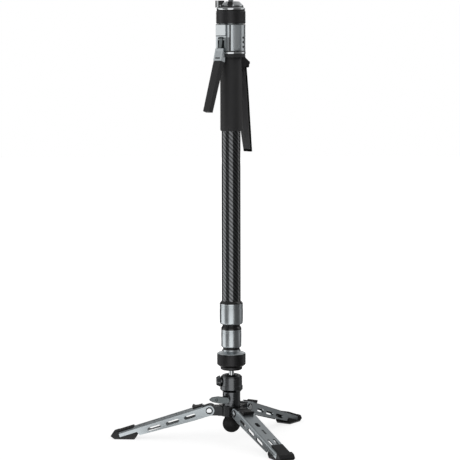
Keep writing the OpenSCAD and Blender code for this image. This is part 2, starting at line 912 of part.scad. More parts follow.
// Winged lever that tightens the clamp
module wing_lever() {
    wing_z = hub_top + wing_rise;
    near = clamp_r + gap;
    root = [-wing_side, wing_z];
    color([0.35, 0.36, 0.37])
        difference() {
            union() {
                side_slab(wing_t, -near - 5 - wing_t / 2)
                    union() {
                        translate(root)
                            circle(r = 5.5);
                        polygon([root + [0, 5.5], root + [-wing_len * 0.5, 6.8], root + [-wing_len + 4.5, 5.4],
                                 root + [-wing_len, 1.8], root + [-wing_len + 0.6, 0.2],
                                 root + [-wing_len + 6, -2.6], root + [-wing_len * 0.4, -5.2],
                                 root + [0, -5.5]]);
                    }
                translate([-wing_side, -near, wing_z])
                    rotate([90, 0, 0])
                        cylinder(r = 4.2, h = 5 + wing_t / 2);
            }
            translate([-wing_side, 0, wing_z])
                rotate([90, 0, 0])
                    cylinder(d = 5 + 2 * slip, h = near + 5);
            translate([-wing_side - wing_len * 0.56, -near - 5 - wing_t - over, wing_z + 1])
                rotate([-90, 0, 0])
                    cylinder(r = 2, h = over + 2, $fn = 24);
        }
}

module wing_screw() {
    wing_z = hub_top + wing_rise;
    reach = clamp_r + gap + 5 - slip;
    start = spigot_d / 2 - 1.5;
    color("silver")
        translate([-wing_side, -start, wing_z])
            rotate([90, 0, 0])
                cylinder(d = 5, h = reach - start);
}

// Hub and legs

// Core with three arms that carry the leg hinges
module hub() {
    tongue_w = leg_w - 2 * leg_wall - 2 * gap;
    color([0.5, 0.51, 0.53])
        difference() {
            union() {
                translate([0, 0, hub_bottom])
                    cylinder(r = hub_r, h = hub_top - hub_bottom);
                for (turn = leg_turns)
                    at_turn(turn) {
                        translate([0, -leg_w / 2 + 1.5, hub_bottom + 0.5])
                            cube([hub_r + 3, leg_w - 3, hub_top - hub_bottom - 1.5]);
                        translate([0, -tongue_w / 2, hinge_z - leg_end_r])
                            cube([hinge_r, tongue_w, leg_end_r + 6.5]);
                        translate([hinge_r, 0, hinge_z])
                            rotate([90, 0, 0])
                                cylinder(r = leg_end_r, h = tongue_w, center = true);
                    }
            }
            for (turn = leg_turns)
                at_turn(turn)
                    translate([hinge_r, 0, hinge_z])
                        rotate([90, 0, 0])
                            cylinder(d = bolt_d + 2 * slip, h = leg_w, center = true);
        }
}

// Bolts through the hinges, with dished heads
module leg_pivots() {
    head_h = 1.8;
    color("gainsboro")
        for (turn = leg_turns)
            at_turn(turn)
                translate([hinge_r, 0, hinge_z])
                    rotate([90, 0, 0])
                        difference() {
                            union() {
                                cylinder(d = bolt_d, h = leg_w + 2 * gap, center = true);
                                for (side = [-1, 1])
                                    translate([0, 0, side * (leg_w / 2 + gap + head_h / 2)])
                                        cylinder(d = bolt_head_d, h = head_h, center = true);
                            }
                            for (side = [-1, 1])
                                translate([0, 0, side * (leg_w / 2 + gap + head_h)])
                                    cylinder(d = bolt_head_d - 4.2, h = 1.2, center = true);
                        }
}

// Leg frame: x along the leg from its hinge, y across it, z up from it
module in_leg(turn) {
    at_turn(turn)
        translate([hinge_r, 0, hinge_z])
            rotate([0, leg_slope, 0])
                children();
}

// Side of a leg beyond its hinge: tapering lower edge, narrow tongue in the foot
module leg_side(grow = 0) {
    drop = foot_start - 3;
    polygon([[0, leg_end_r], [web_start - 1, leg_end_r], [web_start, leg_top + grow],
             [leg_len + grow, leg_top + grow],
             [leg_len + grow, 2.2 - grow], [drop, 2.2 - grow], [drop - 3, -4.5 - grow],
             [leg_len * 0.18, -leg_end_r], [0, -leg_end_r]]);
}

// Section across a leg: a channel with rounded bends
module leg_section() {
    bend_y = leg_w / 2 - bend_r;
    difference() {
        union() {
            translate([-leg_w / 2, -leg_w])
                square([leg_w, leg_w + leg_top - bend_r]);
            translate([-bend_y, 0])
                square([2 * bend_y, leg_top]);
            for (side = [-1, 1])
                translate([side * bend_y, leg_top - bend_r])
                    circle(r = bend_r);
        }
        translate([-leg_w / 2 + leg_wall, -leg_w - over])
            square([leg_w - 2 * leg_wall, leg_w + over + leg_top - leg_wall]);
    }
}

// Bent channel with slots in its sides and its web
module leg_channel() {
    slots = [[0.217, 20.6], [0.412, 24], [0.616, 24]];
    color([0.6, 0.61, 0.63])
        difference() {
            union() {
                intersection() {
                    side_slab(leg_w + over)
                        leg_side();
                    front_slab(-over, leg_len + over)
                        leg_section();
                }
                // round hinge ends
                for (side = [-1, 1])
                    side_slab(leg_wall, side * (leg_w - leg_wall) / 2)
                        circle(r = leg_end_r);
            }
            // the web stops short of the hinge
            translate([-leg_end_r - over, -leg_w / 2 + leg_wall - 0.2, leg_top - leg_wall - 0.6])
                cube([web_start + leg_end_r + over, leg_w - 2 * leg_wall + 0.4, leg_wall + over]);
            side_slab(leg_w + 2 * over)
                for (slot = slots)
                    translate([slot[0] * leg_len, 0])
                        stadium(slot[1], slot_h);
            rotate([90, 0, 0])
                cylinder(d = bolt_d + 2 * slip, h = leg_w + 2 * over, center = true);
            linear_extrude(leg_top + over) {
                // guide of the latch
                translate([latch_stem - gap, -4 - gap])
                    square([5 + latch_travel + 2 * gap, 8 + 2 * gap]);
                translate([leg_len * 0.385, 0])
                    stadium(14, 7);
                translate([leg_len * 0.537, 0])
                    stadium(16, 3.5);
                for (side = [-1, 1])
                    translate([leg_len * 0.752, side * 5])
                        stadium(18, 4);
            }
        }
}

// Sprung latch on a leg's web, held by a stem and a plate, with a lip for the finger
module latch() {
    low = leg_top + gap;
    end = latch_stem + 14.6;
    color([0.1, 0.1, 0.1]) {
        side_slab(latch_w)
            polygon([[web_start + gap, low], [end, low], [end, low + 5], [end - 1.3, low + 5.4],
                     [end - 4, low + 2.7], [end - 9, low + 1.7], [web_start + gap, low + 1.7]]);
        translate([latch_stem, -4, leg_top - leg_wall - gap - 1])
            cube([5, 8, leg_wall + 2 * gap + 1.5]);
        translate([latch_stem, -7, leg_top - leg_wall - gap - 1.6])
            cube([5, 14, 1.6]);
    }
}

// Rubber foot over a leg's end, flat on the ground
module foot() {
    cap_top = leg_top + foot_cap;
    inner = leg_w / 2 - leg_wall - slip;
    side_t = leg_wall + slip + 2 * foot_step;
    bare_w = (leg_w - cap_w) / 2 + foot_step + over;
    sole = foot_start + 5.5;
    color([0.08, 0.08, 0.08])
        difference() {
            side_slab(leg_w + 2 * foot_step)
                polygon([[foot_start + 1, cap_top], [foot_tip - 6, cap_top], [foot_tip, cap_top - 4.5],
                         [foot_tip - 5, ground(foot_tip - 5)], [sole, ground(sole)],
                         [foot_start, ground(sole) + 3.5], [foot_start - 1, ground(sole) + 6]]);
            // recesses for the leg's sides and web
            for (side = [-1, 1])
                side_slab(side_t, side * (inner + side_t / 2))
                    leg_side(slip);
            translate([web_start, -leg_w / 2 - over, leg_top - leg_wall - slip])
                cube([leg_len - web_start + slip, leg_w + 2 * over, leg_wall + 2 * slip]);
            // the cap leaves the leg's bends bare
            for (side = [-1, 1])
                translate([foot_start - over, side * (cap_w + bare_w) / 2 - bare_w / 2, leg_top - leg_wall])
                    cube([leg_len + slip - foot_start + over, bare_w, leg_wall + foot_cap + over]);
        }
}

module left_leg() {
    in_leg(leg_turns[0])
        leg_channel();
}

module right_leg() {
    in_leg(leg_turns[1])
        leg_channel();
}

module front_leg() {
    in_leg(leg_turns[2])
        leg_channel();
}

module left_latch() {
    in_leg(leg_turns[0])
        latch();
}

module right_latch() {
    in_leg(leg_turns[1])
        latch();
}

module front_latch() {
    in_leg(leg_turns[2])
        latch();
}

module left_foot() {
    in_leg(leg_turns[0])
        foot();
}

module right_foot() {
    in_leg(leg_turns[1])
        foot();
}

module front_foot() {
    in_leg(leg_turns[2])
        foot();
}

// Rubber ball foot under the hub
module bulb_foot() {
    color([0.08, 0.08, 0.08])
        difference() {
            union() {
                translate([0, 0, hub_bottom - bulb_drop])
                    sphere(d = bulb_d);
                translate([0, 0, hub_bottom - bulb_drop])
                    cylinder(d = bulb_neck_d, h = bulb_drop);
            }
            translate([-bulb_d, -bulb_d, hub_bottom])
                cube(2 * bulb_d);
        }
}

camera_stud();
head_plate();
seat_ring();
lock_ring();
head_housing();
housing_screws();
hinge_cover();
trim_ring();
lever_pin();
squeeze_lever();
lever_grip();
release_rod();
grip_sleeve();
strap_anchor();
hand_strap();
main_tube();
upper_collar();
upper_flare();
upper_bush();
middle_tube();
middle_collar();
middle_bevel();
middle_bush();
middle_brake();
lower_tube();
lower_brake();
tube_plug();
base_knob();
knob_ring();
ball_stem();
ball_seat();
ball_housing();
retaining_ring();
locking_knob();
locking_screw();
pan_clamp();
wing_lever();
wing_screw();
hub();
leg_pivots();
left_leg();
right_leg();
front_leg();
left_latch();
right_latch();
front_latch();
left_foot();
right_foot();
front_foot();
bulb_foot();
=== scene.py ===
import bmesh
import bpy
from math import atan2, cos, pi, radians, sin
from mathutils import Matrix, Vector


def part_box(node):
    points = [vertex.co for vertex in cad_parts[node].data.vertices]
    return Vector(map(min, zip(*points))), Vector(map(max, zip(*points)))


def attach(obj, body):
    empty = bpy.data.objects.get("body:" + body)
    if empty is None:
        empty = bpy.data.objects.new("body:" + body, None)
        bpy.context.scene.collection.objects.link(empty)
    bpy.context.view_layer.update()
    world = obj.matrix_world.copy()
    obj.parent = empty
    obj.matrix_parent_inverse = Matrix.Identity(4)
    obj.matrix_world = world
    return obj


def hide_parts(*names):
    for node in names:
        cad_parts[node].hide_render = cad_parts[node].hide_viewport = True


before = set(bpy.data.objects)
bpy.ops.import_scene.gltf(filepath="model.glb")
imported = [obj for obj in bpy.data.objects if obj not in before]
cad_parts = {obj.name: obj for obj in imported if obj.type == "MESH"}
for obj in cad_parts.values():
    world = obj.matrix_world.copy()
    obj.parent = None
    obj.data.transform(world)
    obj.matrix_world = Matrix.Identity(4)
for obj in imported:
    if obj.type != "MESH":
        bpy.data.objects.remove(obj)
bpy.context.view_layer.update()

# Camera. It stands 3.2 m in front of the column, level with the upper end of the grip, and looks
# slightly down, with a long lens, as in the photograph. The image is taken as 460 pixels square.
IMAGE_SIDE = 460
FOCAL_PIXELS = 1906
STANDS_AT = (-0.002, -3.216, 0.656)
LOOK_DOWN = radians(5.264)
ROLL = radians(-0.10)

lens = bpy.data.cameras.new("camera")
lens.sensor_width = 36
lens.lens = FOCAL_PIXELS / IMAGE_SIDE * lens.sensor_width
lens.clip_end = 100
camera = bpy.data.objects.new("camera", lens)
camera.matrix_world = (Matrix.Translation(STANDS_AT) @ Matrix.Rotation(pi / 2 - LOOK_DOWN, 4, "X")
                       @ Matrix.Rotation(ROLL, 4, "Z"))
bpy.context.scene.collection.objects.link(camera)
bpy.context.scene.camera = camera
bpy.context.scene.view_settings.view_transform = "Standard"


# Studio: a white floor that keeps a soft shadow, a white surround with a greyer ceiling,
# two large soft lamps, and grey cards around the object that only its gloss sees.
def linear(code):
    parts = [int(code[i:i + 2], 16) / 255 for i in (1, 3, 5)]
    return tuple(c / 12.92 if c <= 0.04045 else ((c + 0.055) / 1.055) ** 2.4 for c in parts) + (1.0,)


def add(tree, kind, inputs=None, **settings):
    made = tree.nodes.new(kind)
    for name, value in settings.items():
        setattr(made, name, value)
    for socket, value in (inputs or {}).items():
        if isinstance(value, bpy.types.NodeSocket):
            tree.links.new(value, made.inputs[socket])
        else:
            made.inputs[socket].default_value = value
    return made


def calc(tree, kind, *values):
    return add(tree, "ShaderNodeMath", dict(enumerate(values)), operation=kind).outputs[0]


def link_in(name, mesh):
    made = bpy.data.objects.new(name, mesh)
    bpy.context.scene.collection.objects.link(made)
    return made


# the surround is white for the camera, lights the object evenly, and shows its ceiling in reflections
SURROUND_LIGHT = 0.55
surround = bpy.data.worlds.new("white surround")
bpy.context.scene.world = surround
surround.use_nodes = True
tree = surround.node_tree
tree.nodes.clear()
path = add(tree, "ShaderNodeLightPath")
direction = add(tree, "ShaderNodeTexCoord")
height = add(tree, "ShaderNodeSeparateXYZ", {0: direction.outputs["Generated"]})
ceiling = add(tree, "ShaderNodeValToRGB", {0: height.outputs["Z"]})
ceiling.color_ramp.elements[1].position = 0.2
for at, grey in ((0.55, 0.42), (0.79, 0.36), (0.90, 0.30)):
    ceiling.color_ramp.elements.new(at).color = (grey, grey, grey, 1)
for stop in (0, 1):
    ceiling.color_ramp.elements[stop].color = (1, 1, 1, 1)
mirrored = calc(tree, "MAXIMUM", path.outputs["Is Glossy Ray"], path.outputs["Is Transmission Ray"])
seen = add(tree, "ShaderNodeMix", {"Factor": mirrored, "A": SURROUND_LIGHT, "B": ceiling.outputs[0]})
level = add(tree, "ShaderNodeMix", {"Factor": path.outputs["Is Camera Ray"], "A": seen.outputs[0], "B": 1.0})
white = add(tree, "ShaderNodeBackground", {"Color": (1, 1, 1, 1), "Strength": level.outputs[0]})
add(tree, "ShaderNodeOutputWorld", {"Surface": white.outputs[0]})

# the floor glows for the camera, a little less near the object, and in reflections
FLOOR_R, GREY_TO, WHITE_FROM, NEAR_GLOW = 9, 0.3, 0.9, 0.78
floor_shape = bpy.data.meshes.new("floor")
form = bmesh.new()
bmesh.ops.create_circle(form, cap_ends=True, segments=96, radius=FLOOR_R)
form.to_mesh(floor_shape)
form.free()
floor = link_in("floor", floor_shape)
paint = bpy.data.materials.new("white floor paint")
paint.use_nodes = True
tree = paint.node_tree
tree.nodes.clear()
path = add(tree, "ShaderNodeLightPath")
place = add(tree, "ShaderNodeTexCoord")
away = add(tree, "ShaderNodeVectorMath", {0: place.outputs["Object"]}, operation="LENGTH")
far = add(tree, "ShaderNodeMapRange", {"Value": away.outputs["Value"], "From Min": GREY_TO,
                                       "From Max": WHITE_FROM}, interpolation_type="SMOOTHSTEP")
glow = add(tree, "ShaderNodeMix", {"Factor": far.outputs[0], "A": NEAR_GLOW, "B": 1.0})
mirrored = calc(tree, "MAXIMUM", path.outputs["Is Glossy Ray"], path.outputs["Is Transmission Ray"])
shown = add(tree, "ShaderNodeMix", {"Factor": path.outputs["Is Camera Ray"], "A": mirrored,
                                    "B": glow.outputs[0]})
matt = add(tree, "ShaderNodeBsdfDiffuse", {"Color": linear("#A6A6A6")})
white = add(tree, "ShaderNodeEmission", {"Color": (1, 1, 1, 1), "Strength": shown.outputs[0]})
both = add(tree, "ShaderNodeAddShader", {0: matt.outputs[0], 1: white.outputs[0]})
add(tree, "ShaderNodeOutputMaterial", {"Surface": both.outputs[0]})
floor_shape.materials.append(paint)

LAMP_SIZE, LAMPS_AIM = 2.0, Vector((0, 0, 0.35))
for name, place, watts in (("key lamp", (-1.5, -2.0, 2.0), 16), ("fill lamp", (1.9, -1.6, 1.5), 9)):
    lamp = bpy.data.lights.new(name, "AREA")
    lamp.energy, lamp.size = watts, LAMP_SIZE
    softbox = link_in(name, lamp)
    softbox.location = place
    softbox.rotation_euler = (LAMPS_AIM - Vector(place)).to_track_quat("-Z", "Y").to_euler()
    softbox.visible_glossy = False

# each card: its azimuths from the camera's side, negative to the left, its profile as radius and
# height in metres, and how light it is
MIDDLE, NEAR, WALL = (0.0, 0.003), (0.9, 0.003), (1.3, 0.003)
BACK = (MIDDLE, WALL, (1.3, 1.0))
SIDE = (MIDDLE, WALL, (1.3, 0.55))
HIGH = ((1.3, 0.55), (1.3, 2.6))
CARDS = (
    (-152, -118, BACK, 0.02),
    # painted shade: the short patches on the floor near the object stand in for the object's shadow there, as
    # its gloss sees it
    (-118, -98, (MIDDLE, (0.3, 0.003)), 0.12),
    (-98, -76, (MIDDLE, (0.09, 0.003)), 0.12),
    (-76, 21, (MIDDLE, (0.17, 0.003)), 0.15),
    (-70, -25, ((0.34, 0.003), WALL, (1.3, 2.6)), 0.18),
    (21, 91, SIDE, 0.10),
    (21, 91, HIGH, 0.13),
    (91, 137, (MIDDLE, NEAR), 0.20),
    (91, 123, (NEAR,) + SIDE[1:], 0.42),
    (91, 123, HIGH, 0.72),
    (123, 137, (NEAR,) + BACK[1:], 0.02),
    (137, 152, BACK, 0.02),
    (152, 208, (WALL, (1.3, 0.40)), 0.03))
for start, end, rows, shade in CARDS:
    steps = max(2, round((end - start) / 4))
    points, sides = [], []
    for radius, rise in rows:
        for i in range(steps + 1):
            turn = radians(start + (end - start) * i / steps - 90)
            points.append((radius * cos(turn), radius * sin(turn), rise))
    for row in range(len(rows) - 1):
        for i in range(steps):
            a = row * (steps + 1) + i
            sides.append((a, a + 1, a + steps + 2, a + steps + 1))
    card_shape = bpy.data.meshes.new("card")
    card_shape.from_pydata(points, [], sides)
    card = link_in("card", card_shape)
    board = bpy.data.materials.new("grey card")
    board.use_nodes = True
    tree = board.node_tree
    tree.nodes.clear()
    tone = add(tree, "ShaderNodeEmission", {"Color": (1, 1, 1, 1), "Strength": shade})
    add(tree, "ShaderNodeOutputMaterial", {"Surface": tone.outputs[0]})
    card_shape.materials.append(board)
    card.visible_camera = card.visible_diffuse = card.visible_shadow = False


# Hub: a dark anodised casting with three arms that carry the leg hinges.
# It is bead-blasted before anodising, which leaves a fine grain and soft edges.
def surface(name, colour, metallic=0.0, roughness=0.5):
    made = bpy.data.materials.new(name)
    made.use_nodes = True
    made.node_tree.nodes.clear()
    place = add(made.node_tree, "ShaderNodeTexCoord")
    shader = add(made.node_tree, "ShaderNodeBsdfPrincipled",
                 {"Base Color": linear(colour), "Metallic": metallic, "Roughness": roughness})
    add(made.node_tree, "ShaderNodeOutputMaterial", {"Surface": shader.outputs[0]})
    return made, made.node_tree, shader, place.outputs["Object"]


def noise(tree, place, size, detail):
    inputs = {"Vector": place, "Scale": 1000 / size, "Detail": detail}
    return add(tree, "ShaderNodeTexNoise", inputs).outputs[0]


def glossed(tree, shader, share, low, high):
    gloss = add(tree, "ShaderNodeMapRange", {"Value": share, "To Min": low, "To Max": high})
    tree.links.new(gloss.outputs[0], shader.inputs["Roughness"])


def bumped(tree, shader, share, strength, depth):
    relief = add(tree, "ShaderNodeBump", {"Height": share, "Strength": strength, "Distance": depth / 1000})
    tree.links.new(relief.outputs[0], shader.inputs["Normal"])


def grained(name, colour, metallic, size, gloss, detail=4.0, relief=None):
    """A material whose roughness, and relief if it has any, vary with a noise of so many millimetres."""
    made, tree, shader, place = surface(name, colour, metallic)
    mottle = noise(tree, place, size, detail)
    glossed(tree, shader, mottle, *gloss)
    if relief:
        bumped(tree, shader, mottle, *relief)
    return made


def worked(name, node, finishes, edge, where=None, heights=()):
    """A merged copy of a CAD node, its edges eased by so many millimetres and its faces split at heights.
    Of several finishes, a test of a face's centre in mm, normal and area in mm2 picks one by its number."""
    sharp = radians(32)
    form = bmesh.new()
    form.from_mesh(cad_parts[node].data)
    bmesh.ops.remove_doubles(form, verts=form.verts, dist=2e-6)
    bmesh.ops.dissolve_limit(form, angle_limit=radians(0.6), verts=form.verts, edges=form.edges)
    for height in heights:
        bmesh.ops.bisect_plane(form, geom=form.verts[:] + form.edges[:] + form.faces[:],
                               plane_co=(0, 0, height / 1000), plane_no=(0, 0, 1))
    for face in form.faces:
        centre, area = face.calc_center_median() * 1000, face.calc_area() * 1e6
        face.material_index = int(where(centre, face.normal, area)) if where else 0
    shape = bpy.data.meshes.new(name)
    form.to_mesh(shape)
    form.free()
    for layer in [a.name for a in shape.attributes if a.name in ("custom_normal", "UVMap")]:
        shape.attributes.remove(shape.attributes[layer])
    shape.shade_smooth()
    shape.set_sharp_from_angle(angle=sharp)
    for finish in finishes if where else (finishes,):
        shape.materials.append(finish)
    piece = link_in(name, shape)
    ease = piece.modifiers.new("eased edges", "BEVEL")
    ease.width, ease.segments = edge / 1000, 2
    ease.limit_method, ease.angle_limit = "ANGLE", sharp
    even = piece.modifiers.new("even shading", "WEIGHTED_NORMAL")
    even.keep_sharp = False
    return piece


def fitted(piece, body, slot, *nodes):
    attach(piece, body)
    if nodes:
        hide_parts(*nodes)


# dark anodised aluminium, blasted: broad soft highlights with a faint mottle, 2 mm across;
# the hub's casting takes the dye more deeply than the turned pieces on it
gunmetal, dyed = (grained(name, colour, 1.0, 2.0, (0.20, 0.30), relief=(0.12, 0.2)) for name, colour in (
    ("dark anodised aluminium, blasted", "#66686A"), ("black anodised casting, blasted", "#3A3B3C")))
fitted(worked("hub_casting", "hub", dyed, 0.7), "base", "gunmetal", "hub")


# Bulb foot: a moulded rubber ball under the hub, for use without the legs.
# It is pushed onto a stud in the hub and its neck runs into the ball in one curve.
def eased(section, edge):
    soft, nearly_straight = [], 2.75
    for before, here, after in zip(section[-1:] + section[:-1], section, section[1:] + section[:1]):
        here, back, on = Vector(here), Vector(before) - Vector(here), Vector(after) - Vector(here)
        if here.x < 1e-6 or edge == 0 or back.angle(on) > nearly_straight:
            soft.append(here)
            continue
        start = here + back.normalized() * min(edge, back.length * 0.45)
        end = here + on.normalized() * min(edge, on.length * 0.45)
        for t in (0, 0.33, 0.67, 1):
            soft.append(start * (1 - t) ** 2 + here * 2 * t * (1 - t) + end * t ** 2)
    return soft


def turned(name, section, finish, edge=0.3, steps=128):
    """A turned piece from its closed half section in millimetres, with eased edges."""
    points, sides, rings = [], [], []
    for r, z in eased(section, edge):
        if r < 1e-6:
            rings.append([len(points)] * steps)
            points.append((0, 0, z / 1000))
        else:
            rings.append(range(len(points), len(points) + steps))
            points += [(r / 1000 * cos(2 * pi * i / steps), r / 1000 * sin(2 * pi * i / steps), z / 1000)
                       for i in range(steps)]
    for low, high in zip(rings, rings[1:] + rings[:1]):
        for i in range(steps):
            j = (i + 1) % steps
            corners = list(dict.fromkeys((low[i], low[j], high[j], high[i])))
            if len(corners) > 2:
                sides.append(corners)
    shape = bpy.data.meshes.new(name)
    shape.from_pydata(points, [], sides)
    form = bmesh.new()
    form.from_mesh(shape)
    bmesh.ops.recalc_face_normals(form, faces=form.faces)
    form.to_mesh(shape)
    form.free()
    shape.shade_smooth()
    shape.set_sharp_from_angle(angle=radians(38))
    shape.materials.append(finish)
    return link_in(name, shape)


def arc(middle, radius, start, end, steps=10):
    turns = [radians(start + (end - start) * i / steps) for i in range(steps + 1)]
    return [(middle[0] + radius * cos(a), middle[1] + radius * sin(a)) for a in turns]


def tinted(tree, shader, share, dark, light):
    inputs = {"Factor": share, "A": linear(dark), "B": linear(light)}
    tint = add(tree, "ShaderNodeMix", inputs, data_type="RGBA")
    tree.links.new(tint.outputs[2], shader.inputs["Base Color"])


# moulded rubber: nearly black, no clear reflection, a fine pebbled skin of about 0.8 mm
rubber, tree, shader, place = surface("moulded rubber", "#1D1D1E")
dust = noise(tree, place, 20, 5.0)
tinted(tree, shader, dust, "#161616", "#252526")
glossed(tree, shader, dust, 0.5, 0.68)
bumped(tree, shader, noise(tree, place, 0.8, 3.0), 0.25, 0.2)

BULB_R, BULB_Z, NECK_R, HUB_LOW = 15.3, 27.6, 11.4, 42.0
bulb = [(0, BULB_Z - BULB_R)] + arc((0, BULB_Z), BULB_R, -84, 36, 24)
bulb += [(11.75, 38.2), (NECK_R, 39.6), (NECK_R, HUB_LOW), (0, HUB_LOW)]
fitted(turned("bulb_foot_rubber", bulb, rubber, 0), "base", "rubber", "bulb_foot")

# Legs: three pressed aluminium channels with slots to save weight, satin anodised.
# Each hangs on a hinge bolt through its two cheeks.
LEGS = (("left", 176), ("right", 56), ("front", -64))
HINGE_R, HINGE_Z, LEG_W, LEG_SLOPE, WEB_UNDER = 37.0, 51.5, 27.0, radians(18), 8.2

# satin anodised sheet: soft wide reflections and a faint cloudy grain, drawn 3 mm coarse so that it shows
sheet = grained("satin anodised aluminium sheet", "#BEC5C8", 1.0, 3.0, (0.30, 0.38), 5.0, (0.10, 0.2))
# painted shade: under the web the channel is drawn in a dull dark aluminium, for the shade inside it
painted_shade_under_web = grained("dull pressed aluminium, painted shade under the web", "#3C3F40", 1.0, 4.0, (0.5, 0.7))
# cut aluminium: bare metal that scatters the light, on the slots' lower walls; on the inner faces of the
# cheeks it is painted light, and on the housing painted shade
cut_and_painted_light_and_shade = grained("cut aluminium", "#8A8E90", 0.4, 1.0, (0.45, 0.6), 3.0)


def leg_frame(degrees):
    """The directions along, across and up from a leg, and its hinge in millimetres."""
    outward = Vector((cos(radians(degrees)), sin(radians(degrees)), 0))
    along = outward * cos(LEG_SLOPE) - Vector((0, 0, sin(LEG_SLOPE)))
    upward = outward * sin(LEG_SLOPE) + Vector((0, 0, cos(LEG_SLOPE)))
    return along, Vector((-outward.y, outward.x, 0)), upward, outward * HINGE_R + Vector((0, 0, HINGE_Z))


for side, degrees in LEGS:
    _, across, upward, hinge = leg_frame(degrees)

    def inside(centre, normal, area):
        from_middle, rise = (centre - hinge).dot(across), (centre - hinge).dot(upward)
        facing_up, facing_across = normal.dot(upward), normal.dot(across)
        # the slots' lower walls: bare cut metal
        if facing_up > 0.7 and abs(from_middle) > LEG_W / 2 - 2.2 and rise < 4:
            return 2
        # painted shade under the web
        if facing_up < -0.7 and rise > WEB_UNDER - 0.6:
            return 1
        # painted light on the inner faces of the cheeks
        cheek = abs(from_middle) < LEG_W / 2 - 0.8 and facing_across * from_middle < 0
        return 2 if cheek and abs(facing_across) > 0.8 else 0

    fitted(worked(side + "_channel", side + "_leg", (sheet, painted_shade_under_web, cut_and_painted_light_and_shade), 0.35, inside),
           "leg_" + side, "grey", side + "_leg")


# Hinge bolts: polished button heads on black nylon washers, one on each cheek of each leg.
# The bolt turns in the hub's arm, and the washers keep the cheeks apart.
def instances_at(name, places, shape, finish):
    """Copies of a shape at places, each a position in millimetres and a turn, made one mesh by nodes."""
    spots = bpy.data.meshes.new(name)
    spots.from_pydata([Vector(p) / 1000 for p, _ in places], [], [])
    facing = spots.attributes.new("facing", "FLOAT_VECTOR", "POINT")
    for i, (_, turn) in enumerate(places):
        facing.data[i].vector = turn
    piece = link_in(name, spots)
    tree = bpy.data.node_groups.new("shape at each place", "GeometryNodeTree")
    tree.interface.new_socket("Places", in_out="INPUT", socket_type="NodeSocketGeometry")
    which = tree.interface.new_socket("Shape", in_out="INPUT", socket_type="NodeSocketObject")
    coat = tree.interface.new_socket("Finish", in_out="INPUT", socket_type="NodeSocketMaterial")
    tree.interface.new_socket("Geometry", in_out="OUTPUT", socket_type="NodeSocketGeometry")
    given = add(tree, "NodeGroupInput").outputs
    turn = add(tree, "GeometryNodeInputNamedAttribute", {"Name": "facing"}, data_type="FLOAT_VECTOR")
    info = add(tree, "GeometryNodeObjectInfo", {"Object": given["Shape"]})
    euler = add(tree, "FunctionNodeEulerToRotation", {0: turn.outputs[0]})
    copies = add(tree, "GeometryNodeInstanceOnPoints", {
        "Points": given["Places"], "Instance": info.outputs["Geometry"], "Rotation": euler.outputs[0]})
    real = add(tree, "GeometryNodeRealizeInstances", {0: copies.outputs[0]})
    coated = add(tree, "GeometryNodeSetMaterial", {"Geometry": real.outputs[0], "Material": given["Finish"]})
    add(tree, "NodeGroupOutput", {0: coated.outputs[0]})
    maker = piece.modifiers.new("places", "NODES")
    maker.node_group = tree
    maker[which.identifier] = shape
    maker[coat.identifier] = finish
    return plain(piece, shape)


def plain(piece, used):
    """The made shape as a plain mesh, with its maker and the shape that it used removed."""
    bpy.context.view_layer.update()
    made = bpy.data.meshes.new_from_object(piece.evaluated_get(bpy.context.evaluated_depsgraph_get()))
    piece.modifiers.clear()
    piece.data = made
    bpy.data.objects.remove(used)
    return piece


def sleeve(inner, outer, low, high):
    return [(inner, low), (outer, low), (outer, high), (inner, high)]


# polished steel: sharp reflections, a trace of fine scratches
polished = grained("polished steel", "#DCDFE1", 1.0, 1.5, (0.05, 0.14), 6.0)
# black nylon: dull, even, a soft sheen at its edges; the same black also serves as painted shade in grooves,
# gaps and openings
nylon_and_painted_shade = grained("black nylon", "#141415", 0.0, 4.0, (0.4, 0.56))

half = LEG_W / 2
head = [(3, half), (4.8, half), (4.8, half + 1.3), (4.3, half + 1.95), (0, half + 2.0)]
bolt = turned("bolt", [(r, -z) for r, z in reversed(head)] + head, polished, 0.25, 40)
washer = turned("washer", sleeve(4.85, 6.0, half + 0.35, half + 1.3), nylon_and_painted_shade, 0.25, 40)
turns = [(leg_frame(a)[3], (pi / 2, 0, radians(a))) for _, a in LEGS]
flipped = [(p, (-pi / 2, 0, r[2])) for p, r in turns]
fitted(instances_at("hinge_bolts", turns, bolt, polished), "base", "polished", "leg_pivots")
fitted(instances_at("bolt_washers", turns + flipped, washer, nylon_and_painted_shade), "base", "black_plastic", "leg_pivots")

# Latches: sprung black plates on the legs' webs, with a lip for the finger.
# A stem through the web holds each one.
for side, _ in LEGS:
    fitted(worked(side + "_latch_plate", side + "_latch", nylon_and_painted_shade, 0.5), "latch_" + side, "black_plastic",
           side + "_latch")


def blocks(name, boxes, place):
    """Plain black blocks in one mesh, each from its low and high corner in millimetres, put in place."""
    form = bmesh.new()
    for low, high in boxes:
        made = bmesh.ops.create_cube(form, size=1)["verts"]
        bmesh.ops.scale(form, vec=Vector(high) - Vector(low), verts=made)
        bmesh.ops.translate(form, vec=(Vector(low) + Vector(high)) / 2, verts=made)
    bmesh.ops.transform(form, matrix=place @ Matrix.Scale(0.001, 4), verts=form.verts)
    shape = bpy.data.meshes.new(name)
    form.to_mesh(shape)
    form.free()
    shape.materials.append(nylon_and_painted_shade)
    return link_in(name, shape)


# the front leg's spring box shows through its first slot, and a black plug under the first hole of its web is
# painted shade inside the channel
along, across, upward, hinge = leg_frame(LEGS[2][1])
in_leg = Matrix.Translation(hinge / 1000) @ Matrix((along, across, upward)).transposed().to_4x4()
SPRING_BOX_AND_SHADE_PLUG = (((21, -11.6, -4.8), (38.2, -10.8, 6.0)), ((41.2, -11.6, -4.8), (46.5, -10.8, 6.0)),
              ((51, -6, 5.4), (71, 6, 7.4)))
fitted(blocks("front_spring_box", SPRING_BOX_AND_SHADE_PLUG, in_leg), "leg_front", "black_plastic")

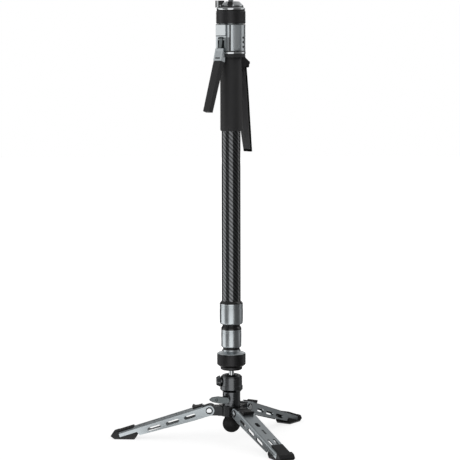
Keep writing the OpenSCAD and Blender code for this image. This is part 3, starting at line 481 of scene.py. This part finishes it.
# Feet: rubber shoes moulded over the ends of the legs, flat on the ground.
# They wrap the leg's tongue and have a thick rounded edge.
for side, _ in LEGS:
    fitted(worked(side + "_shoe", side + "_foot", rubber, 1.2), "leg_" + side, "rubber", side + "_foot")

# Pan clamp: a split ring on the hub that grips the spigot of the ball housing.
# A winged lever on a screw tightens it. The faces in the ring's window are black, painted shade in the
# opening.
WINDOW_LOW, WINDOW_HIGH, CLAMP_BORE = 74.3, 82, 14.9


def within(centre, normal, area):
    window = centre.y < -8 and centre.x < 0 and WINDOW_LOW < centre.z < WINDOW_HIGH
    return window and (centre.xy.length < CLAMP_BORE or normal.x > 0.8)


fitted(worked("pan_clamp_ring", "pan_clamp", (gunmetal, nylon_and_painted_shade), 0.4, within), "base", "gunmetal", "pan_clamp")
# zinc casting: mid grey, dull, slightly uneven; the same grey is painted shade on the housing's cheek and the
# lever's eye
zinc_and_painted_shade = grained("tumbled zinc casting", "#767C7D", 1.0, 2.5, (0.36, 0.55), 4.0, (0.2, 0.3))
fitted(worked("wing_casting", "wing_lever", zinc_and_painted_shade, 1.0), "wing", "grey", "wing_lever")


# Screws and rods inside: plain turned steel, seen only in gaps and when the column is drawn out.
# They keep the plain shape of the construction.
def finished(finish, *nodes):
    for node in nodes:
        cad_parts[node].data.materials.clear()
        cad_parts[node].data.materials.append(finish)


# turned steel: bright, with a fine uneven grain of about 1 mm
steel = grained("turned steel", "#B4B6B8", 1.0, 1.2, (0.2, 0.38))
finished(steel, "wing_screw", "locking_screw", "release_rod", "lever_pin")

# Ball joint: a dark cup with its liner, a ring screwed in over them, and the polished ball on its stem.
# The cup's spigot, which shows in the clamp's window, is black, painted shade in the window.
SPIGOT_R, SPIGOT_TOP = 10.3, 84


def spigot(centre, normal, area):
    return centre.xy.length < SPIGOT_R and centre.z < SPIGOT_TOP


fitted(worked("ball_cup", "ball_housing", (gunmetal, nylon_and_painted_shade), 0.8, spigot),
       "ball_base", "gunmetal", "ball_housing")
# acetal: milky white, waxy
acetal = grained("white acetal", "#D8D5CC", 0.0, 5.0, (0.32, 0.42), 3.0)
finished(acetal, "ball_seat")
CUP_TOP = 108.95
fitted(turned("cup_ring", [(8.9, 104.3), (15, 104.3), (15, CUP_TOP), (17.6, CUP_TOP), (17, 110.5),
                           (14.6, 112.4), (12.6, 112.9), (12.1, 112.9)], gunmetal, 0.4),
       "ball_base", "gunmetal", "retaining_ring")
BALL_Z, BALL_R, STEM_R, STEM_TOP = 97.4, 11.0, 4.65, 133.2
ball = [(0, BALL_Z - BALL_R)] + arc((0, BALL_Z), BALL_R, -84, 58, 28)
ball += [(5.1, 107.6), (STEM_R, 108.6), (STEM_R, STEM_TOP), (0, STEM_TOP)]
fitted(turned("ball_and_stem", ball, polished, 0), "lower_section", "polished", "ball_stem")


# Locking knob: a dark cone on the side of the cup with fine ridges for the fingers.
# Its screw presses the liner onto the ball.
def ridged(name, body, tooth, finish, around, rows, radius, low, pitch):
    """A turned body with rows of teeth round it, made one mesh by nodes. Millimetres."""
    tree = bpy.data.node_groups.new("ridges round a ring", "GeometryNodeTree")
    counts = {"Around": around, "Rows": rows}
    sizes = {"Radius": radius / 1000, "Low": low / 1000, "Pitch": pitch / 1000}
    tree.interface.new_socket("Body", in_out="INPUT", socket_type="NodeSocketGeometry")
    values = {tree.interface.new_socket(label, in_out="INPUT", socket_type=kind): value for kind, named in (
        ("NodeSocketObject", {"Tooth": tooth}), ("NodeSocketMaterial", {"Finish": finish}),
        ("NodeSocketInt", counts), ("NodeSocketFloat", sizes)) for label, value in named.items()}
    tree.interface.new_socket("Geometry", in_out="OUTPUT", socket_type="NodeSocketGeometry")
    given = add(tree, "NodeGroupInput").outputs
    share = calc(tree, "DIVIDE", add(tree, "GeometryNodeInputIndex").outputs[0], given["Around"])
    row = calc(tree, "FLOOR", share)
    # each row starts half a tooth further round than the one below it
    shift = calc(tree, "DIVIDE", calc(tree, "MULTIPLY", row, 0.5), given["Around"])
    turn = calc(tree, "MULTIPLY", calc(tree, "ADD", share, shift), 2 * pi)
    x = calc(tree, "MULTIPLY", calc(tree, "COSINE", turn), given["Radius"])
    y = calc(tree, "MULTIPLY", calc(tree, "SINE", turn), given["Radius"])
    z = calc(tree, "MULTIPLY_ADD", row, given["Pitch"], given["Low"])
    spot = add(tree, "ShaderNodeCombineXYZ", {0: x, 1: y, 2: z})
    facing = add(tree, "ShaderNodeCombineXYZ", {2: turn})
    euler = add(tree, "FunctionNodeEulerToRotation", {0: facing.outputs[0]})
    total = calc(tree, "MULTIPLY", given["Around"], given["Rows"])
    points = add(tree, "GeometryNodePoints", {"Count": total, "Position": spot.outputs[0]})
    info = add(tree, "GeometryNodeObjectInfo", {"Object": given["Tooth"]})
    copies = add(tree, "GeometryNodeInstanceOnPoints", {
        "Points": points.outputs[0], "Instance": info.outputs["Geometry"], "Rotation": euler.outputs[0]})
    joined = add(tree, "GeometryNodeJoinGeometry", {0: given["Body"]})
    tree.links.new(copies.outputs[0], joined.inputs[0])
    real = add(tree, "GeometryNodeRealizeInstances", {0: joined.outputs[0]})
    coated = add(tree, "GeometryNodeSetMaterial", {"Geometry": real.outputs[0], "Material": given["Finish"]})
    add(tree, "NodeGroupOutput", {0: coated.outputs[0]})
    maker = body.modifiers.new("ridges", "NODES")
    maker.node_group = tree
    for socket, value in values.items():
        maker[socket.identifier] = value
    body.name = name
    return plain(body, tooth)


def ridge(name, corners):
    """A small ridge from the four corners of its foot and the four of its crest, in millimetres."""
    shape = bpy.data.meshes.new(name)
    shape.from_pydata([Vector(p) / 1000 for p in corners], [],
                      [(0, 1, 5, 4), (1, 2, 6, 5), (2, 3, 7, 6), (3, 0, 4, 7), (4, 5, 6, 7), (3, 2, 1, 0)])
    return link_in(name, shape)


KNOB_TURN, KNOB_Z, KNOB_START, KNOB_LEN = radians(189), 101.6, 19.8, 6.4
side_on = (Matrix.Rotation(KNOB_TURN, 4, "Z") @ Matrix.Translation((KNOB_START / 1000, 0, KNOB_Z / 1000))
           @ Matrix.Rotation(pi / 2, 4, "Y"))
cone = turned("cone", [(0, 0), (9.0, 0), (9.6, 0.6), (9.3, 1.0), (6.9, KNOB_LEN - 0.5), (6.4, KNOB_LEN),
                       (0, KNOB_LEN)], gunmetal, 0.2, 72)
fin = ridge("fin", ((8.6, -0.5, 0.7), (8.6, 0.5, 0.7), (6.4, 0.5, 6.0), (6.4, -0.5, 6.0),
                    (9.55, -0.2, 0.9), (9.55, 0.2, 0.9), (7.0, 0.2, 5.8), (7.0, -0.2, 5.8)))
knob = ridged("locking_knob_cone", cone, fin, gunmetal, 32, 1, 0, 0, 1)
knob.data.transform(side_on)
fitted(knob, "ball_lock", "gunmetal", "locking_knob")


# Base knob: the coupling ring that frees the column from its base, a grey turned top on a black
# ridged grip. The ring under it is black and carries the stem.
def bar(name, foot, crest):
    """A ridge whose foot and crest each give a distance outwards, a half width and two ends, in mm."""
    return ridge(name, [(out, y, z) for out, wide, low, high in (foot, crest)
                        for y, z in ((-wide, low), (wide, low), (wide, high), (-wide, high))])


# black anodised aluminium: dull black with grey where light grazes the edges
black_metal = grained("black anodised aluminium", "#464647", 0.9, 3.0, (0.34, 0.5))
# turned aluminium, satin: rings 0.5 mm apart from the lathe, drawn as a fine ripple along the axis
silver, tree, shader, place = surface("satin anodised aluminium, turned", "#C3C9CC", 1.0)
axis = add(tree, "ShaderNodeSeparateXYZ", {0: place})
lathe = add(tree, "ShaderNodeTexNoise", {"W": axis.outputs["Z"], "Scale": 1000 / 0.5, "Detail": 3.0},
            noise_dimensions="1D")
blend = calc(tree, "ADD", lathe.outputs[0], noise(tree, place, 4.0, 4.0))
gloss = add(tree, "ShaderNodeMapRange", {"Value": blend, "From Min": 0.4, "From Max": 1.6,
                                         "To Min": 0.26, "To Max": 0.31})
tree.links.new(gloss.outputs[0], shader.inputs["Roughness"])

KNOB_LOW, KNOB_HIGH, KNOB_BORE, KNOB_R = 126.6, 156.0, 12.05, 23.7
grip_body = turned("grip_body", [(KNOB_BORE, KNOB_LOW), (19.5, KNOB_LOW), (KNOB_R, 129.7), (KNOB_R, 148.6),
                                 (KNOB_BORE, 148.6)], black_metal, 0.4)
rib = bar("rib", (-0.3, 0.8, -9.3, 9.3), (0.65, 0.35, -8.6, 8.6))
fitted(ridged("base_knob_grip", grip_body, rib, black_metal, 72, 1, KNOB_R, 139.3, 0),
       "coupling_ring", "black_metal", "base_knob")
knob_top = [(KNOB_BORE, 148.65), (24.4, 148.65), (24.4, 149.2), (22.8, 150.3), (16.4, 152.7), (15.8, 153.1),
            (15.2, KNOB_HIGH), (KNOB_BORE, KNOB_HIGH)]
fitted(turned("base_knob_top", knob_top, silver, 0.3), "coupling_ring", "grey", "base_knob")
fitted(turned("stem_ring", [(4.7, 120.9), (16.5, 120.9), (18.5, 122.4), (18.5, 126.2), (4.7, 126.2)],
              black_metal, 0.5), "lower_section", "black_metal", "knob_ring")
finished(zinc_and_painted_shade, "tube_plug", "middle_brake", "lower_brake")

# Tubes: three sections of wound carbon cloth under clear lacquer.
# The twill shows as bright and dark stripes that climb round the tube.
TWILL_RISE, TOWS = 7.28, 14.0


def carbon_cloth(radius):
    cloth, tree, shader, place = surface("lacquered carbon cloth", "#303132", 1.0, 0.22)
    shader.inputs["Coat Weight"].default_value = 1.0
    shader.inputs["Coat Roughness"].default_value = 0.04
    climbs = round(2 * pi * radius / TWILL_RISE)
    apart = add(tree, "ShaderNodeSeparateXYZ", {0: place}).outputs
    climb = calc(tree, "MULTIPLY", calc(tree, "ARCTAN2", apart["Y"], apart["X"]), climbs / (2 * pi))
    phase = calc(tree, "MULTIPLY_ADD", apart["Z"], 1000 / TWILL_RISE, climb)
    wave = calc(tree, "PINGPONG", phase, 0.5)
    stripe = add(tree, "ShaderNodeMapRange", {"Value": wave, "From Min": 0.15, "From Max": 0.35},
                 interpolation_type="SMOOTHSTEP")
    # tows of fibre within each stripe, about 0.5 mm apart
    fibre = add(tree, "ShaderNodeTexNoise", {"W": calc(tree, "MULTIPLY", phase, TOWS), "Scale": 1.0,
                                             "Detail": 3.0}, noise_dimensions="1D")
    tone = calc(tree, "MULTIPLY_ADD", fibre.outputs[0], 0.15, calc(tree, "MULTIPLY", stripe.outputs[0], 0.9))
    tinted(tree, shader, tone, "#232425", "#6C6E70")
    return cloth


for name, inner, outer, low, body, node in (
        ("lower_carbon_tube", 8.4, 10.0, 136.6, "lower_section", "lower_tube"),
        ("middle_carbon_tube", 11.4, 13.0, 160.7, "middle_section", "middle_tube"),
        ("main_carbon_tube", 14.4, 16.0, 200.2, "upper_section", "main_tube")):
    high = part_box(node)[1].z * 1000
    fitted(turned(name, sleeve(inner, outer, low, high), carbon_cloth(outer), 0.15), body, "carbon", node)


# Collars: satin aluminium clamps at the tubes' lower ends with fine engraved lines,
# each with a glossy black rim above it and the black lip of its guide bush below.
def collar(bore, radius, low, high, rounding, lines):
    """The half section of a collar, rounded below, with engraved lines under its upper edge."""
    cuts, width, depth, pitch = [], 0.8, 0.5, 2.6
    for line in range(lines, 0, -1):
        cut_low, cut_high = high - 0.4 - pitch * line, high - 0.4 - pitch * line + width
        cuts += [(radius, cut_low), (radius - depth, cut_low), (radius - depth, cut_high), (radius, cut_high)]
    foot = arc((radius - rounding, low + rounding), rounding, -90, 0, 6)
    return [(bore, low)] + foot + cuts + [(radius, high), (bore, high)]


# black lacquer: deep gloss with sharp reflections
lacquer, tree, shader, place = surface("black lacquer", "#0E0E0F")
shader.inputs["Coat Weight"].default_value = 0.6
shader.inputs["Coat Roughness"].default_value = 0.05
glossed(tree, shader, noise(tree, place, 6.0, 2.0), 0.18, 0.3)

fitted(turned("middle_clamp_collar", collar(13.05, 17.3, 159.7, 190.0, 2.5, 2), silver, 0.15),
       "middle_section", "silver", "middle_collar")
fitted(turned("middle_rim", [(13.05, 190.0), (17.3, 190.0), (17.3, 192.4), (15.3, 196.0), (13.05, 196.0)],
              lacquer, 0.4), "middle_section", "black_gloss", "middle_bevel")
fitted(turned("middle_guide_bush", [(10.05, 156.4), (14.1, 156.4), (14.1, 159.7), (11.35, 159.7),
                                    (11.35, 183.7), (10.05, 183.7)], nylon_and_painted_shade, 0.3),
       "middle_section", "black_plastic", "middle_bush")
fitted(turned("upper_clamp_collar", collar(16.05, 19.75, 199.2, 234.6, 3.15, 3), silver, 0.15),
       "upper_section", "silver", "upper_collar")
fitted(turned("upper_rim", [(16.05, 234.6), (19.75, 234.6), (19.75, 235.4), (16.8, 239.0), (16.05, 239.0)],
              lacquer, 0.3), "upper_section", "black_gloss", "upper_flare")
fitted(turned("upper_guide_bush", [(13.05, 196.4), (15.0, 196.4), (15.0, 199.2), (14.35, 199.2),
                                   (14.35, 223.2), (13.05, 223.2)], nylon_and_painted_shade, 0.3),
       "upper_section", "black_plastic", "upper_bush")

# Grip: a sleeve of foam rubber pulled over the main tube, with a smooth closed skin.
# Its lower edge is rounded for the hand.
GRIP_LOW, GRIP_HIGH, GRIP_BORE, GRIP_R = 527.5, 656.8, 16.05, 18.1
# foam rubber: charcoal, a soft sheen down its length and a fine closed-cell skin of about 1 mm
foam, tree, shader, place = surface("foam rubber", "#2C2C2D")
cells = add(tree, "ShaderNodeTexVoronoi", {"Vector": place, "Scale": 1000 / 1.1})
patch = noise(tree, place, 25, 5.0)
tinted(tree, shader, patch, "#1C1C1D", "#28282A")
glossed(tree, shader, patch, 0.55, 0.68)
bumped(tree, shader, cells.outputs[0], 0.18, 0.2)
shader.inputs["Sheen Weight"].default_value = 0.12
grip = [(GRIP_BORE, GRIP_LOW), (17.0, GRIP_LOW), (GRIP_R, GRIP_LOW + 1.4), (GRIP_R, GRIP_HIGH),
        (GRIP_BORE, GRIP_HIGH)]
fitted(turned("grip_foam", grip, foam, 0.5), "upper_section", "rubber", "grip_sleeve")

# Strap: a band of stiff black webbing sewn round a bar on the grip, which hangs free at its lower end.
# Its faces are woven and its edges are near black.
STRAP_TURN, STRAP_HALF, STRAP_THICK, THREAD, EDGE = radians(35), 10.5, 3.0, 1.5, 0.7
fitted(worked("strap_bracket", "strap_anchor", nylon_and_painted_shade, 0.6), "upper_section", "black_plastic", "strap_anchor")

# webbing: charcoal threads 1.5 mm wide in a plain weave, a fuzzy sheen
webbing, tree, shader, place = surface("woven webbing", "#3A3A3B", 0.0, 0.7)
flat = add(tree, "ShaderNodeUVMap", uv_map="weave")
weft, warp = (add(tree, "ShaderNodeTexWave", {"Vector": flat.outputs[0], "Scale": 2 * pi / 20 / THREAD,
                                              "Distortion": 0.3}, bands_direction=way) for way in ("Y", "X"))
weave = calc(tree, "MULTIPLY", weft.outputs[1], warp.outputs[1])
tinted(tree, shader, weave, "#434345", "#6B6B6D")
bumped(tree, shader, weave, 0.35, 0.3)
shader.inputs["Sheen Weight"].default_value = 0.25
# edges and cut end: near black and dull, darker than the faces
dark_edge, tree, shader, place = surface("dark strap edge", "#070707", 0.0, 0.8)
shader.inputs["Specular IOR Level"].default_value = 0.1
bumped(tree, shader, noise(tree, place, 1.0, 3.0), 0.3, 0.2)

BAR_D, BAR_Z, LOOP_R, LOOP_HALF = 27.0, 642.0, 3.1, 1.1
# distance from the column, height and half width of the band, from its cut end to the bar
HANG = ((35.0, 492.0, 10.6), (34.99, 492.1, 10.6), (34.8, 493.5, 10.7), (32.4, 511.5, 12.0),
        (30.4, 528.5, 13.4), (28.95, 545.5, 13.4), (27.9, 562.4, 13.3), (27.0, 579.3, 13.0),
        (26.0, 596.0, 12.4), (25.1, 613.0, 11.6), (24.2, 630.0, 10.5), (23.9, 637.0, 10.5))
loop = [(BAR_D - LOOP_R * cos(radians(a)), BAR_Z + LOOP_R * sin(radians(a))) for a in range(0, 211, 15)]
tail = [(29.3, 636.5), (29.2, 633.5)]
route = [Vector(p) for p in [(d, z) for d, z, _ in HANG] + loop + tail]
lengths = [0.0]
for a, b in zip(route, route[1:]):
    lengths.append(lengths[-1] + (b - a).length)
form = bmesh.new()
weave_layer = form.loops.layers.uv.new("weave")
outward = Vector((cos(STRAP_TURN), sin(STRAP_TURN), 0))
sideways = Vector((-sin(STRAP_TURN), cos(STRAP_TURN), 0))
rings = []
for i, here in enumerate(route):
    ahead = (route[min(i + 1, len(route) - 1)] - route[max(i - 1, 0)]).normalized()
    normal = Vector((-ahead.y, ahead.x))
    thick = STRAP_THICK / 2 if i < len(HANG) - 1 else LOOP_HALF
    wide = HANG[i][2] if i < len(HANG) else STRAP_HALF
    row = [wide - 0.1, wide - EDGE, wide - 2 * EDGE, 2 * EDGE - wide, EDGE - wide, 0.1 - wide]
    outline = [(y, thick) for y in reversed(row)] + [(wide, thick - 0.2), (wide, 0.2 - thick)]
    outline += [(y, -thick) for y in row] + [(-wide, 0.2 - thick), (-wide, thick - 0.2)]
    ring = []
    for y, t in outline:
        spot = here + normal * t
        ring.append(form.verts.new((outward * spot.x + sideways * y + Vector((0, 0, spot.y))) / 1000))
    rings.append((ring, outline, lengths[i]))
# of the sides between two outlines, the middle three of each face are woven, except at the cut end
WOVEN, CUT_END = (1, 2, 3, 9, 10, 11), 1
for (low, low_at, low_len), (high, high_at, high_len) in zip(rings, rings[1:]):
    for k in range(len(low)):
        m = (k + 1) % len(low)
        face = form.faces.new((low[k], low[m], high[m], high[k]))
        face.material_index = 0 if k in WOVEN and low_len > CUT_END else 1
        spots = ((low_at[k], low_len), (low_at[m], low_len), (high_at[m], high_len), (high_at[k], high_len))
        for corner, ((y, _), length) in zip(face.loops, spots):
            corner[weave_layer].uv = (y, length)
for ring, _, _ in (rings[0], rings[-1]):
    form.faces.new(ring).material_index = 1
bmesh.ops.recalc_face_normals(form, faces=form.faces)
band = bpy.data.meshes.new("hand_strap_webbing")
form.to_mesh(band)
form.free()
band.materials.append(webbing)
band.materials.append(dark_edge)
band.shade_smooth()
strap = link_in("hand_strap_webbing", band)
soften = strap.modifiers.new("rounding", "SUBSURF")
soften.levels = soften.render_levels = 2
fitted(strap, "upper_section", "webbing", "hand_strap")

# Head: a silver housing on the main tube with a chrome ring under it, a plate over the lever's hinge
# and three small screws. It is die-cast, turned and anodised.
# blasted aluminium: the same metal left dull in the sunk panel
dull = grained("blasted aluminium", "#BAC0C3", 0.65, 1.5, (0.32, 0.42))
# degrees round the housing from the lever: the bracket's right cheek, the strip beside it, the groove and the
# panel.
# The cheek and the strip are painted shade in darker greys up to the middle split, the groove is painted
# black shade, and both ends have a painted dark shade line.
LEVER_TURN, CHEEK_START, CHEEK_END, STRIP_END = 228, 15, 24, 37
GROOVE_START, GROOVE_END, PANEL_END, PANEL_LOW, PANEL_HIGH, SUNK_R = 30, 41, 90, 661, 706, 24.25
HOUSING_SPLITS = (661.9, 684.3, 704.9)


def recess(centre, normal, area):
    from_lever = (atan2(centre.y, centre.x) * 180 / pi - LEVER_TURN) % 360
    if abs(normal.z) >= 0.9:
        return 0
    if centre.xy.length > SUNK_R:
        # painted shade: a black line at each end of the housing
        if not HOUSING_SPLITS[0] < centre.z < HOUSING_SPLITS[2]:
            return 2
        # painted shade: the cheek and the strip darker below the middle split
        if centre.z < HOUSING_SPLITS[1] and CHEEK_START < from_lever < STRIP_END:
            return 3 if from_lever < CHEEK_END else 4
    elif GROOVE_START < from_lever < PANEL_END and PANEL_LOW < centre.z < PANEL_HIGH:
        # painted shade: the groove black
        return 2 if from_lever < GROOVE_END else 1
    return 0


HOUSING_FINISHES = (silver, dull, nylon_and_painted_shade, zinc_and_painted_shade, cut_and_painted_light_and_shade)
fitted(worked("housing_casting", "head_housing", HOUSING_FINISHES, 0.35, recess, HOUSING_SPLITS),
       "upper_section", "silver", "head_housing")
# brushed plate: brighter than the casting, fine lines about 0.6 mm wide along the column
brushed, tree, shader, place = surface("brushed aluminium", "#D3D8DA", 1.0)
stretch = add(tree, "ShaderNodeMapping", {"Vector": place, "Scale": (1000 / 0.6, 1000 / 0.6, 1000 / 30)})
glossed(tree, shader, noise(tree, stretch.outputs[0], 1000, 3.0), 0.24, 0.36)
fitted(worked("hinge_plate", "hinge_cover", brushed, 0.3), "upper_section", "polished", "hinge_cover")
fitted(worked("chrome_trim", "trim_ring", polished, 0.7), "upper_section", "polished", "trim_ring")
# blackened steel: nearly black with a faint oily sheen
blackened = grained("blackened steel", "#161617", 0.3, 1.0, (0.4, 0.56))
SCREW_TURN, SCREW_LOW, SCREW_PITCH = radians(LEVER_TURN + 99), 668.6, 7.7
screw = turned("screw", [(0, 20.6), (1.35, 20.6), (1.35, 24.5), (2.0, 24.5), (2.0, 24.85), (0, 24.85)],
               blackened, 0.1, 24)
holes = [((0, 0, SCREW_LOW + SCREW_PITCH * i), (0, pi / 2, SCREW_TURN)) for i in range(3)]
fitted(instances_at("screw_heads", holes, screw, blackened), "upper_section", "steel", "housing_screws")
# painted shadow: a thin black strip under the hinge's plate
in_bracket = Matrix.Rotation(radians(LEVER_TURN), 4, "Z")
PLATE_SHADOW_STRIP = ((24.5, -10.9, 686.2), (25.6, 10.9, 687.35))
fitted(blocks("hinge_plate_seal", [PLATE_SHADOW_STRIP], in_bracket), "upper_section", "black_plastic")
# the grip's flange under the ring: the ring's form made narrower and taller, with its opening for the lever
FLANGE_LOW, FLANGE_R, TRIM_IN, TRIM_OUT, TRIM_HIGH, CLEAR = 651.0, 24.3, 16.05, 25.4, 660.2, 0.05
flange = worked("grip_flange", "trim_ring", foam, 0.5)
for corner in flange.data.vertices:
    out = corner.co.xy.length * 1000
    share = (out - TRIM_IN) / (TRIM_OUT - TRIM_IN)
    widened = (GRIP_R + CLEAR + share * (FLANGE_R - GRIP_R)) / out
    rise = (corner.co.z * 1000 - GRIP_HIGH) / (TRIM_HIGH - GRIP_HIGH)
    lowered = FLANGE_LOW + rise * (GRIP_HIGH - FLANGE_LOW - CLEAR)
    corner.co = (corner.co.x * widened, corner.co.y * widened, lowered / 1000)
fitted(flange, "upper_section", "rubber")

# Lever: a cast arm on a pin in the housing, with a rubber grip moulded over its lower end.
# Its eye works in the dark slot of the housing and is painted shade in a darker grey; the sunk panel of the
# knuckle is duller.
KNUCKLE_TOP, SUNK_LOW, SUNK_HIGH, SUNK_AREA = 666.4, 649, 661, (140, 155)


def sunk(centre, normal, area):
    # painted shade: the eye in the housing's slot drawn in a darker grey
    if centre.z > KNUCKLE_TOP:
        return 2
    panel = SUNK_LOW < centre.z < SUNK_HIGH and abs(normal.z) < 0.5
    return panel and SUNK_AREA[0] < area < SUNK_AREA[1]


fitted(worked("lever_casting", "squeeze_lever", (silver, dull, zinc_and_painted_shade), 0.5, sunk),
       "lever", "silver", "squeeze_lever")
fitted(worked("lever_rubber", "lever_grip", foam, 1.2), "lever", "rubber", "lever_grip")
# painted shadow: a dark line across the knuckle's sloping panel
in_knuckle = in_bracket @ Matrix.Translation((0.0324, 0, 0.655)) @ Matrix.Rotation(radians(-14.5), 4, "Y")
KNUCKLE_SHADOW_STRIP = ((-0.9, -5.2, -5.9), (-0.25, 5.2, -4.1))
fitted(blocks("knuckle_seam", [KNUCKLE_SHADOW_STRIP], in_knuckle), "lever", "black_plastic")

# Lock ring: a black ring with a fine knurl that holds the plate down.
# It turns on the neck of the housing.
LOCK_LOW, LOCK_HIGH, LOCK_BORE, LOCK_END_R, LOCK_R = 707.0, 729.0, 20.3, 23.7, 24.5
ring_body = turned("ring_body", [(LOCK_BORE, LOCK_LOW), (LOCK_END_R, LOCK_LOW), (LOCK_R, LOCK_LOW + 1.0),
                                 (LOCK_R, LOCK_HIGH - 1.0), (LOCK_END_R, LOCK_HIGH), (LOCK_BORE, LOCK_HIGH)],
                   black_metal, 0.3)
peak = bar("peak", (-0.2, 0.78, -0.9, 0.9), (0.4, 0.14, -0.16, 0.16))
fitted(ridged("lock_ring_knurl", ring_body, peak, black_metal, 96, 11, LOCK_R, LOCK_LOW + 2.4, 1.72),
       "plate_lock", "black_metal", "lock_ring")

# Plate: a polished quick-release plate with its locating lug, on a bright bead, and the camera stud.
# Thin black rings above and below the bead are painted shadow lines.
BEAD_LOW, BEAD_HIGH, BEAD_MIDDLE, BEAD_IN, BEAD_ROUND = 729.4, 734.2, 731.8, 22.2, 2.4
bead = [(0, BEAD_LOW), (BEAD_IN, BEAD_LOW)] + arc((BEAD_IN, BEAD_MIDDLE), BEAD_ROUND, -75, 75, 10)
bead += [(BEAD_IN, BEAD_HIGH), (0, BEAD_HIGH)]
fitted(turned("bead_ring", bead, polished, 0), "upper_section", "polished", "seat_ring")
# painted highlight: the lug's round corners in a diffuse, nearly white aluminium, where a highlight falls
painted_highlight = grained("frosted aluminium", "#DDE0E1", 0.2, 1.0, (0.4, 0.55), 3.0)
# places along x: a painted dark reflection band on the rim, painted shade on the wall of the notch, and the
# lug's root and end (painted shade) and corners (painted highlight)
RIM_DARK_BAND, NOTCH, LUG_ROOT, LUG_CORNER, LUG_END = (-5.4, 3.0), (-17.5, -11.3), -9.3, -19.5, -23.6


def plate_zone(centre, normal, area):
    rim = centre.xy.length > 14 and normal.z > -0.5 and area < 60
    upright = rim and abs(normal.z) < 0.1 and centre.z < 739
    # painted dark reflection on the rim's band, and painted shade on the notch's wall
    if rim and RIM_DARK_BAND[0] < centre.x < RIM_DARK_BAND[1] or upright and NOTCH[0] < centre.x < NOTCH[1]:
        return 1
    # painted shade on the lug's root and end
    if centre.x < LUG_ROOT and abs(normal.y) > 0.98 or centre.x < LUG_END and normal.x < -0.5:
        return 1
    # painted highlight on the lug's round corners
    if centre.x < LUG_CORNER and abs(normal.y) > 0.3 and abs(normal.z) < 0.1:
        return 3
    return 2 if upright and centre.x > RIM_DARK_BAND[1] else 0


fitted(worked("release_plate", "head_plate", (polished, nylon_and_painted_shade, brushed, painted_highlight), 0.4, plate_zone),
       "upper_section", "polished", "head_plate")
for name, radius, low, high in (("plate_seal", 21.7, 734.2, 735.8), ("bead_seal", 23.9, 729.1, 730.1)):
    fitted(turned(name, sleeve(20.2, radius, low, high), nylon_and_painted_shade, 0.3), "upper_section", "black_plastic")
# the stud's thread has 16 turns to the inch
THREAD_PITCH, STUD_R, STUD_LOW, STUD_HIGH = 25.4 / 16, 4.76, 744.3, 753.7
GROOVE_DEPTH, END_DEPTH, AROUND, ROWS = 0.62, 0.7, 48, 60
points, sides = [], []
for row in range(ROWS + 1):
    rise = STUD_LOW + (STUD_HIGH - STUD_LOW) * row / ROWS
    for i in range(AROUND):
        turn = (rise / THREAD_PITCH - i / AROUND) % 1
        depth = GROOVE_DEPTH * min(1.0, 2.6 * abs(turn - 0.5)) if 1 < row < ROWS - 1 else END_DEPTH
        points.append(((STUD_R - depth) / 1000 * cos(2 * pi * i / AROUND),
                       (STUD_R - depth) / 1000 * sin(2 * pi * i / AROUND), rise / 1000))
for row in range(ROWS):
    for i in range(AROUND):
        a, b = row * AROUND + i, row * AROUND + (i + 1) % AROUND
        sides.append((a, b, b + AROUND, a + AROUND))
sides += [tuple(range(AROUND))[::-1], tuple(range(ROWS * AROUND, (ROWS + 1) * AROUND))]
thread_shape = bpy.data.meshes.new("camera_screw")
thread_shape.from_pydata(points, [], sides)
thread_shape.shade_smooth()
thread_shape.set_sharp_from_angle(angle=radians(38))
thread_shape.materials.append(steel)
fitted(link_in("camera_screw", thread_shape), "upper_section", "steel", "camera_stud")
